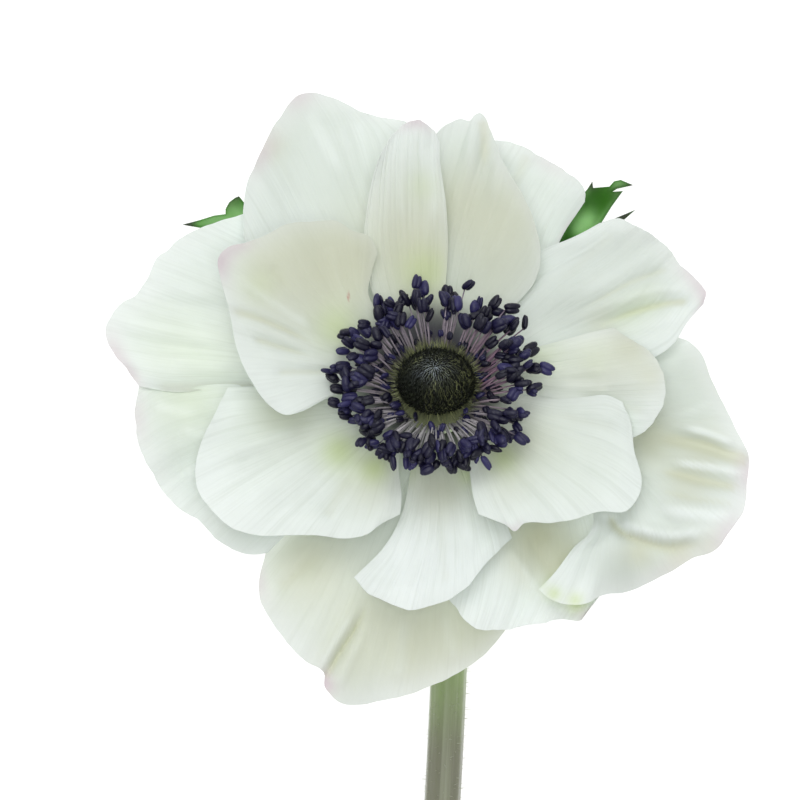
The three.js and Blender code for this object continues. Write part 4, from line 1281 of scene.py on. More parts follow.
@dataclass(frozen=True)
class FloorFinish:
    """Matt white paper that glows a little, as on a light table."""

    glow: float = 0.88

    def make(self) -> Material:
        """Builds the material.

        Returns:
            The material.
        """
        bench = Bench("floor_paper")
        bench.set(Base_Color=(0.35, 0.35, 0.35, 1.0), Roughness=1.0, Specular_IOR_Level=0.0,
                  Emission_Color=(1.0, 1.0, 1.0, 1.0), Emission_Strength=self.glow)
        return bench.material


# Tepals


@dataclass
class Tepal:
    """One tepal: a veined blade that thins toward its rim."""

    shape: TepalShape
    seed: int  # what its fine relief and its pattern come from
    thickness: float = 0.36
    rim_share: float = 0.25  # the rim's thickness, as a share of the blade's
    thin_margin: float = 0.1  # how much of the blade thins toward its rim
    steps_across: int = 112
    steps_along: int = 72
    top_level: int = 6
    level_step: float = 0.9
    top_depth: float = 0.7
    level_spread: float = 0.55
    spread_start: float = 7.0
    spread_run: float = 6.0
    reflex_reach: float = 43.0
    reflex_drop: float = 6.0
    base_half_angle: float = math.radians(28)
    base_gap: float = 0.6
    rim_hold: float = 2.5
    curl_power: float = 4.0
    pleat_power: float = 1.5
    fold_fade: float = 0.6
    fine_pleats: int = 26
    swells: int = 7
    waver_counts: Sequence[int] = (5, 9, 14, 23)  # waves along the rim
    waver_reach: float = 0.012  # as a share of the distance from the centre
    heart_dark_reach: float = 9.8  # how far the darker heart of the bloom goes: partly painted shade under the stamens, partly the tissue's own darker base
    heart_dark_centre: Pair = (-0.8, 0.2)
    heart_dark_strength: float = 0.95
    rosy_margin: float = 0.07  # how much of the blade can be pink along its rim
    fold_highlight_and_shade: float = 0.75  # how much paler a crest is, and how much warmer a valley
    grain_step: float = 3.7  # how far a crest is painted paler, as a highlight, and a valley painted warmer, as shade
    marked_node: str = "tepal_left_inner"
    mark: Sequence[float] = (-11.7, 11.2, 0.09, 0.5)  # plan x and y, half width, half length

    def __post_init__(self) -> None:
        """Lays out a grid, with each vertex's place across it, along it, in the plan and from its rim."""
        self.draws = random.Random(self.seed)
        name = self.shape.node.replace("tepal", "petal")
        self.grid = add_grid(name, self.steps_across, self.steps_along)
        places = points_of(self.grid.data)
        self.across, self.along = 1 - places[:, 0], places[:, 1]
        self.margin = np.minimum.reduce([self.across, 1 - self.across, 1 - self.along])
        self.depth = self.top_depth + (self.top_level - self.shape.level) * self.level_step
        self.x, self.y = (self.outline() * (1 + self.rim_waver())[:, None]).T
        self.creases = sum(crease(ridge, self.x, self.y) for ridge in self.shape.ridges)

    def base_points(self, across: Array) -> Array:
        """Places the base arc on the receptacle.

        Args:
            across: places from the first side to the second one.

        Returns:
            Plan x and y for each place.
        """
        radius = RECEPTACLE.radius(self.depth / RECEPTACLE.length) + self.base_gap
        angle = math.radians(self.shape.azimuth) + self.base_half_angle * (2 * across - 1)
        arc = [radius * np.cos(angle), radius * np.sin(angle), np.full_like(angle, -self.depth)]
        return FRAME.plan(np.stack(arc, axis=-1))[..., :2]

    def outline(self) -> Array:
        """Blends the plan from the blade's four edges.

        Returns:
            Plan x and y for each vertex.
        """
        shape = self.shape
        base = self.base_points(self.across)
        first_base, last_base = self.base_points(np.array([0.0, 1.0]))
        first_rim, last_rim = np.array(shape.rim[0]), np.array(shape.rim[-1])
        one = along_curve(smooth_curve([first_base, *shape.side_one, first_rim]), self.along)
        two = along_curve(smooth_curve([last_base, *shape.side_two, last_rim]), self.along)
        edge = along_curve(smooth_curve(shape.rim), self.across)
        outer = (self.along**self.rim_hold)[..., None]
        inner = 1 - outer
        share = self.across[..., None]
        return ((1 - share) * one + share * two + inner * base + outer * edge
                - (1 - share) * (inner * first_base + outer * first_rim)
                - share * (inner * last_base + outer * last_rim))

    def rim_waver(self) -> Array:
        """Moves the rim in and out a little.

        Returns:
            How far out each vertex moves, as a share of its distance from the centre.
        """
        waver = np.zeros_like(self.across)
        for count in self.waver_counts:
            size = self.draws.uniform(0.3, 1.0) / count
            waver += size * np.sin(math.tau * count * self.across + self.draws.uniform(0, 6))
        return self.waver_reach * waver * self.along**6

    def fold(self, fold: Sequence[float]) -> Array:
        """Works out how far a fold turns the blade up, to the left of its line.

        Args:
            fold: the fold's line, slope and softness.

        Returns:
            The height at each vertex.
        """
        x0, y0, x1, y1, slope, softness = fold
        length = math.hypot(x1 - x0, y1 - y0)
        left = ((x1 - x0) * (self.y - y0) - (y1 - y0) * (self.x - x0)) / length
        onward = ((x1 - x0) * (self.x - x0) + (y1 - y0) * (self.y - y0)) / length**2
        return slope * ramp(1 - onward, 0, self.fold_fade) * 0.5 * (left + np.hypot(left, softness))

    def height(self) -> Array:
        """Works out the blade's height but for its creases: the dish, cup, curls, pleats and folds.

        Returns:
            The height at each vertex.
        """
        shape, tilt, y = self.shape, FRAME.tilt, self.y
        reach = np.hypot(self.x, y)
        reflex = np.where(y < 0, self.reflex_drop * (y / self.reflex_reach) ** 2, 0.0)
        height = FRAME.height - (y + FRAME.setback) * math.tan(tilt) - reflex
        height -= self.depth / math.cos(tilt)
        spread = 1 - np.exp(-np.maximum(reach - self.spread_start, 0) / self.spread_run)
        height += shape.level * self.level_spread * spread
        height += shape.cup * (reach / BLOOM_REACH) ** 2
        for hills, power in ((shape.curls, self.curl_power), (shape.pleats, self.pleat_power)):
            for place, width, rise in hills:
                height += rise * bump(self.across, place, width) * self.along**power
        for fold in shape.folds:
            height += self.fold(fold) * self.along
        return height

    def fine_relief(self) -> Array:
        """Makes the fine pleats that fan out from the base, and slow swells of the tissue.

        Returns:
            The height at each vertex.
        """
        draws, along = self.draws, self.along
        relief = np.zeros_like(along)
        for _ in range(self.fine_pleats):
            place, width = draws.random(), draws.uniform(0.008, 0.022)
            rise, start = draws.uniform(-0.07, 0.09), draws.uniform(0.05, 0.5)
            bend = 0.03 * draws.uniform(-1, 1) * along**2
            relief += rise * bump(self.across + bend, place, width) * ramp(along, start, start + 0.35)
        for _ in range(self.swells):
            waves, turns = draws.uniform(0.5, 2.2), draws.uniform(0.5, 2.5)
            swell, phase = draws.uniform(0.06, 0.2), draws.uniform(0, math.tau)
            relief += swell * along * np.sin(math.tau * (waves * self.across + turns * along) + phase)
        return relief

    def tint(self) -> None:
        """Stores at each vertex the painted warm and cool shade, paler on crests and warmer in valleys as
        painted light, the tissue's green and pink, the darker heart, which is partly painted shade, and the
        mark.
        """
        mesh, x, y = self.grid.data, self.x, self.y
        # Painted light on the creases: crests lose some of their painted shade, as a highlight, and valleys
        # get painted warm shade.
        crest, valley = ramp(self.creases, 0.2, 0.9), ramp(-self.creases, 0.1, 0.9)
        for tone in Tone:
            strength = tint_strength((*HEART_TINTS.get(tone, ()), *self.shape.tints.get(tone, ())), x, y)
            if tone is Tone.PINK:
                strength *= 1 - ramp(self.margin, 0.0, self.rosy_margin)
            if tone in (Tone.COOL_SHADE, Tone.WARM_SHADE):
                strength *= 1 - self.fold_highlight_and_shade * crest
            if tone is Tone.WARM_SHADE:
                strength = 1 - (1 - strength) * (1 - self.fold_highlight_and_shade * valley)
            set_tone(mesh, tone.value, strength)
        x0, y0, width, length = self.mark
        marked = bump(x, x0, width) * bump(y, y0, length)
        set_tone(mesh, "mark", marked if self.shape.node == self.marked_node else 0.0)
        # The heart is darker: partly painted shade under the stamens, partly the tissue's own darker base.
        away = np.hypot(x - self.heart_dark_centre[0], y - self.heart_dark_centre[1])
        set_tone(mesh, "heart_dusk_and_shade", self.heart_dark_strength * np.exp(-((away / self.heart_dark_reach) ** 8)))
        set_tone(mesh, "grain", self.seed * self.grain_step)

    def build(self, *finishes: Material) -> None:
        """Shapes the tepal, dresses it and gives it its thickness.

        Args:
            finishes: the materials of its front and its back.
        """
        z = np.maximum(self.height() + self.creases + self.fine_relief(), 0.5 * self.thickness)
        set_points(self.grid.data, FRAME.metres(np.column_stack([self.x, self.y, z])))
        self.tint()
        weights = ramp(self.margin, 0.0, self.thin_margin)
        thicken(self.grid, weights, self.thickness, self.rim_share, *finishes)
        hand_over(self.grid, Slot.TEPAL, self.shape.node)


def build_corolla() -> None:
    """Builds the fifteen tepals."""
    finishes = [TepalFinish(face).make() for face in Face]
    for seed, shape in enumerate(TEPALS):
        Tepal(shape, seed).build(*finishes)


# Stem and bracts


@dataclass
class Stem:
    """The stem: flared under the bloom, bent, then lying straight to its cut end."""

    radius: float = 2.38
    neck: float = 5.0
    bend_sidestep: float = 1.2
    lying_height: float = 2.3375  # the axis above the surface
    sides: int = 40
    head_rings: int = 15
    bend_rings: int = 25
    lying_rings: int = 100
    glance: float = 0.002  # how far ahead and back a lying ring looks for its direction
    rib_count: int = 9
    rib_height: float = 0.03
    end_insets: Sequence[Pair] = ((0.0003, -0.0001), (0.0008, 0.00025))  # width and depth, metres
    cut_length: float = 0.0003  # how much of the end shows the cut, in metres
    browning: Triple = (-0.011, 0.004, 0.9)  # from and to, in metres below the origin, and strength
    hair_count: int = 1500
    hair_radius: float = 0.032
    hair_stretch: Pair = (0.1, 0.995)  # the part of the stem that is downy
    hair_length: Pair = (0.35, 0.95)
    hair_lean: float = 0.45
    hair_bow: float = 0.1
    hair_seed: int = 11
    route: Points = ((2.0, -30), (1.7, -39.5), (0.9, -56), (-0.6, -80), (-2.2, -105), (-3.4, -134))
    rings: list[tuple[Array, Array, float]] = field(default_factory=list)

    def lay_rings(self) -> None:
        """Works out the rings along the stem: centre, direction and radius."""
        origin = FRAME.plan(np.zeros(3))
        back = FRAME.plan(np.array([0.0, 0.0, -1.0])) - origin
        for share in np.linspace(0, 1, self.head_rings):
            centre = origin + back * RECEPTACLE.length * share
            self.rings.append((centre, back, RECEPTACLE.radius(share)))
        neck_end = origin + back * (RECEPTACLE.length + self.neck)
        turn = math.pi / 2 - FRAME.tilt
        bend = (neck_end[2] - self.lying_height) / (1 - math.cos(turn))
        bend_end = neck_end[1] - bend * math.sin(turn)
        for share in np.linspace(0, 1, self.bend_rings):
            angle = turn * (1 - share)
            centre = np.array([
                self.bend_sidestep * share**2,
                bend_end + bend * math.sin(angle),
                self.lying_height + bend * (1 - math.cos(angle)),
            ])
            direction = np.array([0.0, -math.cos(angle), -math.sin(angle)])
            self.rings.append((centre, direction, self.radius))
        line = smooth_curve([(self.bend_sidestep, bend_end), *self.route])
        for share in np.linspace(0, 1, self.lying_rings + 1)[1:]:
            spot, ahead = along_curve(line, np.array([share, min(share + self.glance, 1.0)]))
            behind = along_curve(line, np.array(share - self.glance))
            direction = np.append(ahead - behind, 0.0)
            centre = np.append(spot, self.lying_height)
            self.rings.append((centre, direction / np.linalg.norm(direction), self.radius))

    def ring_point(self, share: Array, angle: Array) -> tuple[Array, Array]:
        """Finds points on the skin.

        Args:
            share: how far along the rings they are, from 0 to 1.
            angle: where they are round the stem.

        Returns:
            The points in the plan, with heights, and their outward directions.
        """
        index = share * (len(self.rings) - 1)
        low = np.minimum(index.astype(int), len(self.rings) - 2)
        part = index - low
        centres, directions, radii = (np.array(column) for column in zip(*self.rings))

        def between(values: Array, part: Array) -> Array:
            """Blends the values of the two rings that each point is between."""
            return values[low] * (1 - part) + values[low + 1] * part

        centre, direction = between(centres, part[:, None]), between(directions, part[:, None])
        direction /= np.linalg.norm(direction, axis=1)[:, None]
        right = np.array([1.0, 0.0, 0.0]) - direction * direction[:, :1]
        right /= np.linalg.norm(right, axis=1)[:, None]
        upward = np.cross(direction, right)
        outward = right * np.cos(angle)[:, None] + upward * np.sin(angle)[:, None]
        ribs = 1 + self.rib_height * np.cos(self.rib_count * angle + 2 * share)
        return centre + outward * (between(radii, part) * ribs)[:, None], outward

    def skin(self, angle: Array, share: Array) -> Array:
        """Gives the skin's points, kept above the surface.

        Args:
            angle: where they are round the stem.
            share: how far along the rings they are, from 0 to 1.

        Returns:
            The points in metres.
        """
        points = self.ring_point(share, angle)[0]
        points[:, 2] = np.maximum(points[:, 2], 0.0)
        return FRAME.metres(points)

    def build(self) -> None:
        """Builds the stem and its down."""
        self.lay_rings()
        stem = roll_tube("stem_skin", self.sides, len(self.rings) - 1, 1e-6, self.skin)
        with edit_mode(stem):
            bpy.ops.mesh.select_all(action="DESELECT")
        min(stem.data.polygons, key=lambda face: face.center.y).select = True
        bpy.ops.object.mode_set(mode="EDIT")
        for thickness, push in self.end_insets:
            bpy.ops.mesh.inset(thickness=thickness, depth=push)
        bpy.ops.object.mode_set(mode="OBJECT")
        places = points_of(stem.data)
        end = places[:, 1].min() + self.cut_length
        start, stop, strength = self.browning
        set_tone(stem.data, "cut", (places[:, 1] < end).astype(np.float32))
        set_tone(stem.data, "browning", strength * ramp(-places[:, 1], start, stop))
        hand_over(stem, Slot.STEM, "stem", material=StemFinish().make())
        self.build_down()

    def build_down(self) -> None:
        """Covers the stem with short soft hairs, but not where it lies on the surface."""
        draws = random.Random(self.hair_seed)
        shares = np.array([draws.uniform(*self.hair_stretch) for _ in range(self.hair_count)])
        angles = np.array([draws.uniform(0, math.tau) for _ in range(self.hair_count)])
        places = []
        for foot, normal in zip(*self.ring_point(shares, angles)):
            if normal[2] < -0.35 and foot[2] < 2 * self.lying_height:
                continue
            length = draws.uniform(*self.hair_length)
            lean = np.array([draws.uniform(-1, 1), draws.uniform(-1, 1), draws.uniform(-0.4, 0.6)])
            tip = foot + (normal + self.hair_lean * lean) * length
            matrix = aim(Vector(FRAME.metres(foot - normal * 0.05)), Vector(FRAME.metres(tip)),
                         self.hair_radius * MM, Vector((0, 0, 1)))
            places.append((matrix, {"tone": draws.random()}))
        down = join_copies("stem_down", small_stalk("hair", 3, (1.0, 0.15), self.hair_bow), places)
        skin = TissueFinish("stem_hair", linear(210, 214, 196), linear(168, 172, 140), linear(225, 228, 215))
        hand_over(down, Slot.STEM, "stem", material=skin.make())


@dataclass
class Bract:
    """One deeply cut green bract, which stands on the stem below the bloom."""

    shape: BractShape
    thickness: float = 0.42
    edge_share: float = 0.35  # the edge's thickness, as a share of the blade's
    thin_margin: float = 0.4
    rounds: int = 4  # how often the blade's triangles are split
    rib_width: float = 0.5
    rib_depth: float = 0.3
    rib_start: float = 0.3  # where the ribs part, as a share of the way from the root to a tip
    margin: float = 0.45
    root_depth: float = 12.0
    least_tip: float = 12.0  # corners closer to the root than this are no tips
    brown_reach: float = 1.3
    clearance: float = 0.3

    def __post_init__(self) -> None:
        """Works out its corners and its root on the stem, cuts it out flat and splits it finely."""
        self.outline = np.array(self.shape.outline, float)
        self.root = FRAME.plan(np.array([0.0, 0.0, -self.root_depth]))[:2]
        deselect_all()
        bpy.ops.mesh.primitive_circle_add(vertices=len(self.outline), fill_type="NGON")
        self.blade = named(self.shape.node.replace("bract", "leaf"))
        set_points(self.blade.data, np.column_stack([self.outline, np.zeros(len(self.outline))]))
        upside_down = self.blade.data.polygons[0].normal.z < 0
        with edit_mode(self.blade):
            if upside_down:
                bpy.ops.mesh.flip_normals()
            bpy.ops.mesh.quads_convert_to_tris(quad_method="BEAUTY", ngon_method="BEAUTY")
            for _ in range(self.rounds):
                bpy.ops.mesh.subdivide(number_cuts=1)
                bpy.ops.mesh.beautify_fill()
        self.plan = points_of(self.blade.data)[:, :2]

    def tips(self) -> list[Array]:
        """Finds the corners that stand out from their neighbours.

        Returns:
            The corners at the lobes' tips.
        """
        reach = np.linalg.norm(self.outline - self.root, axis=1)
        neighbours = np.maximum(np.roll(reach, 1), np.roll(reach, -1))
        return [corner for corner, here, beside in zip(self.outline, reach, neighbours)
                if here > beside and here > self.least_tip]

    def from_line(self, start: Array, stop: Array) -> tuple[Array, Array]:
        """Measures the vertices from a straight line.

        Args:
            start: where the line starts.
            stop: where it stops.

        Returns:
            Each vertex's distance from the line, and how far along it is, from 0 to 1.
        """
        side = stop - start
        onward = np.clip((self.plan - start) @ side / (side @ side), 0, 1)
        return np.linalg.norm(self.plan - start - onward[:, None] * side, axis=1), onward

    def build(self, leaf: Material) -> None:
        """Shapes the bract's relief, tints it and gives it its thickness.

        Args:
            leaf: what it is made of.
        """
        mesh, plan = self.blade.data, self.plan
        rib, browned = np.zeros(len(plan)), np.zeros(len(plan))
        for tip in self.tips():
            nearest, onward = self.from_line(self.root + self.rib_start * (tip - self.root), tip)
            rib = np.maximum(rib, bump(nearest, 0.0, self.rib_width) * (1 - 0.7 * onward))
            away = np.linalg.norm(plan - tip, axis=1)
            browned = np.maximum(browned, bump(away, 0.0, self.brown_reach))
        sides = zip(self.outline, np.roll(self.outline, -1, axis=0))
        edge = np.minimum.reduce([self.from_line(here, there)[0] for here, there in sides])
        distance = np.linalg.norm(plan - self.root, axis=1)
        arch = self.shape.arch * np.sin(math.pi * np.minimum(distance / BLOOM_REACH, 1))
        middle = np.maximum(self.shape.rise + self.shape.slope * distance + arch, 0) + self.clearance
        middle += 0.1 * ramp(edge, 0, 1.5) - self.rib_depth * rib
        middle += 0.06 * np.sin(1.7 * plan[:, 0] + 0.9 * plan[:, 1])
        set_points(mesh, FRAME.metres(np.column_stack([plan, middle])))
        set_tone(mesh, "rib", 0.7 * rib)
        set_tone(mesh, "edge", 0.6 * (1 - ramp(edge, 0, self.margin)))
        set_tone(mesh, "tip", 0.5 * browned)
        for tone in LeafTone:
            set_tone(mesh, tone.value, tint_strength(self.shape.tints.get(tone, ()), *plan.T))
        thicken(self.blade, ramp(edge, 0.0, self.thin_margin), self.thickness, self.edge_share, leaf)
        hand_over(self.blade, Slot.LEAF, self.shape.node)


def build_bracts() -> None:
    """Builds the three bracts."""
    leaf = LeafFinish().make()
    for shape in BRACTS:
        Bract(shape).build(leaf)


# Stamens and pistils


@dataclass
class Stamens:
    """A dense ring of blue-black anthers on pale mauve filaments, round a green disc."""

    disc_radius: float = 5.7
    disc_floor: float = 0.3
    disc_height: float = 1.3
    ring_count: int = 206
    inner_count: int = 104
    ring_inner: float = 9.0
    ring_outer: float = 13.4
    ring_top: float = 6.9  # how high the anthers of its inner edge stand
    ring_fall: float = 2.1  # how much lower those of its outer edge are
    low_fall: float = 0.6  # and how much lower those below the dome
    inner_reach: Pair = (5.9, 8.7)
    inner_height: Pair = (1.9, 4.4)
    inner_size: Pair = (0.45, 0.85)
    inner_sides: float = 0.8  # above and below this sine of their angle only each third one grows
    filament_radius: float = 0.1
    anther_length: float = 2.05
    anther_width: float = 1.6
    bluntness: float = 2.7  # of the anthers' ends
    crowding: float = 0.28  # how far the stamens gather below the dome
    opening: float = 0.4  # how far the ring's inner edge draws back below the dome
    place_seed: int = 23
    shape_seed: int = 31
    # Anthers that stand out singly: angle in degrees, distance from the axis, height
    strays: Sequence[Triple] = (
        (176.0, 14.4, 5.0), (180.5, 13.8, 4.6), (268.5, 14.4, 5.2), (196.0, 14.0, 4.8), (242.0, 13.9, 4.9),
        (298.0, 14.3, 5.2), (322.0, 14.4, 5.0), (8.0, 14.6, 5.0), (31.0, 14.5, 5.2), (48.0, 14.6, 5.4),
        (74.0, 14.5, 5.6), (102.0, 14.3, 5.6), (128.0, 14.0, 5.4), (150.0, 14.2, 5.2), (222.0, 14.0, 4.9),
    )

    def filament_master(self) -> Piece:
        """Shapes one filament.

        Returns:
            The filament, 1 long on Z, with its tone running from 0 at its foot to 1.
        """
        filament = small_stalk("filament", 6, (1.2, 0.9), 1.4)
        set_tone(filament.data, "tone", points_of(filament.data)[:, 2])
        return filament

    def anther_master(self) -> Piece:
        """Shapes one anther: two plump lobes with a seam between them.

        Returns:
            The anther, 1 long on Z.
        """
        lobes = []
        for side in (-1, 1):
            deselect_all()
            bpy.ops.mesh.primitive_uv_sphere_add(segments=8, ring_count=6, radius=1.0)
            lobe = named("anther")
            sphere = points_of(lobe.data)
            rise = sphere[:, 2]
            girth = (1 - np.abs(rise) ** self.bluntness) ** 0.5
            swell = girth / np.maximum(np.hypot(sphere[:, 0], sphere[:, 1]), 0.01) * (1 - 0.12 * rise)
            set_points(lobe.data, np.column_stack([
                side * 0.17 + 0.31 * sphere[:, 0] * swell + side * 0.02 * rise,
                0.33 * sphere[:, 1] * swell - 0.06 * side,
                0.5 + (0.5 - 0.03 * side) * rise,
            ]))
            lobe.data.uv_layers[0].name = UV_NAME
            lobes.append(lobe)
        first, second = lobes
        apply_modifier(first, "BOOLEAN", operation="UNION", object=second, solver="EXACT")
        bpy.data.objects.remove(second)
        return first

    def ring(self) -> list[tuple[float, float, float, float]]:
        """Places the stamens.

        Returns:
            The angle, distance from the axis, height and size of each.
        """
        draws = random.Random(self.place_seed)
        found = []
        for index in range(self.ring_count):
            rank = (index + 0.5) / self.ring_count
            reach = math.sqrt(self.ring_inner**2 + rank * (self.ring_outer**2 - self.ring_inner**2))
            angle = index * GOLDEN_ANGLE + draws.uniform(-0.16, 0.16)
            angle -= self.crowding * math.cos(angle)
            lower = max(0.0, -math.sin(angle))
            height = self.ring_top - self.ring_fall * rank - self.low_fall * lower + draws.uniform(-1.0, 1.0)
            inward = self.ring_outer - reach + draws.uniform(-0.5, 0.7)
            reach = self.ring_outer - inward * (1 - self.opening * lower)
            found.append((angle, reach, height, draws.uniform(0.85, 1.2)))
        for index in range(self.inner_count):
            angle = (index + draws.uniform(-0.4, 0.4)) * math.tau / self.inner_count
            if abs(math.sin(angle)) < self.inner_sides or index % 3 == 0:
                found.append((angle, draws.uniform(*self.inner_reach), draws.uniform(*self.inner_height),
                              draws.uniform(*self.inner_size)))
        for degrees, reach, height in self.strays:
            found.append((math.radians(degrees), reach, height, draws.uniform(0.9, 1.1)))
        return found

    def build_disc(self) -> None:
        """Builds the green disc that the filaments grow from."""
        deselect_all()
        bpy.ops.mesh.primitive_cylinder_add(
            vertices=72, radius=self.disc_radius, depth=self.disc_height,
            location=(0, 0, self.disc_floor + self.disc_height / 2),
        )
        disc = named("stamen_disc")
        bpy.ops.object.transform_apply()
        apply_modifier(disc, "BEVEL", width=0.35, segments=4, limit_method="ANGLE")
        disc.data.transform(FRAME.matrix())
        set_tone(disc.data, "tone", 0.4)
        tissue = TissueFinish("disc_tissue", linear(138, 144, 104), linear(96, 102, 72), linear(60, 64, 50))
        hand_over(disc, Slot.STAMEN, "stamens", sharp=40, material=tissue.make())

    def build(self) -> None:
        """Builds the disc, the filaments and the anthers."""
        self.build_disc()
        draws = random.Random(self.shape_seed)
        bloom = FRAME.matrix()
        filaments, anthers = [], []
        up = Vector((0, 0, 1))
        for angle, reach, height, size in self.ring():
            lower = max(0.0, -math.sin(angle))
            out = Vector((math.cos(angle), math.sin(angle), 0))
            foot = out * (self.disc_radius - draws.uniform(0.25, 0.9)) + up * (self.disc_floor + 0.9)
            reach *= 1 + 0.02 * math.cos(2 * angle) + 0.01 * math.sin(angle)
            length = self.anther_length * size
            neck = out * (reach - 0.5 * length) + up * height
            swing = angle + draws.gauss(0, 0.6)
            pitch = draws.uniform(-0.25, 0.9) - 0.3 * lower
            lean = Vector((math.cos(swing), math.sin(swing), pitch)).normalized()
            # Inner filaments get painted shade, as if shaded among the dense stamens; the others get a
            # random dark tone.
            inner_shade_and_dark_tone = 0.8 if reach < self.ring_inner * 0.95 else 0.5 * draws.random() ** 2
            tones = {"flush": max(0.0, math.cos(angle - 0.1)) ** 2, "pale": lower * 0.85, "inner_shade_and_dark_tone": inner_shade_and_dark_tone}
            filaments.append((bloom @ aim(foot, neck + lean * 0.25, self.filament_radius, up), tones))
            roll = Vector((draws.uniform(-1, 1), draws.uniform(-1, 1), draws.uniform(0.0, 1.0)))
            width = self.anther_width * size * draws.uniform(0.75, 1.15)
            squash = Matrix.Diagonal((draws.uniform(0.8, 1.1), draws.uniform(0.75, 1.25), 1.0, 1.0))
            matrix = bloom @ aim(neck, neck + lean * length, width, lean.cross(roll)) @ squash
            anthers.append((matrix, {"tone": draws.random() ** 2.2}))
        threads = join_copies("stamen_filaments", self.filament_master(), filaments)
        hand_over(threads, Slot.STAMEN, "stamens", material=FilamentFinish().make())
        heads = join_copies("stamen_anthers", self.anther_master(), anthers)
        skin = TissueFinish("anther_skin", linear(14, 12, 33), linear(50, 47, 94), linear(5, 4, 14),
                            grain=1100.0, relief=0.0003, roughness=0.38, sheen=0.0, specular=0.4)
        hand_over(heads, Slot.STAMEN, "stamens", material=skin.make())


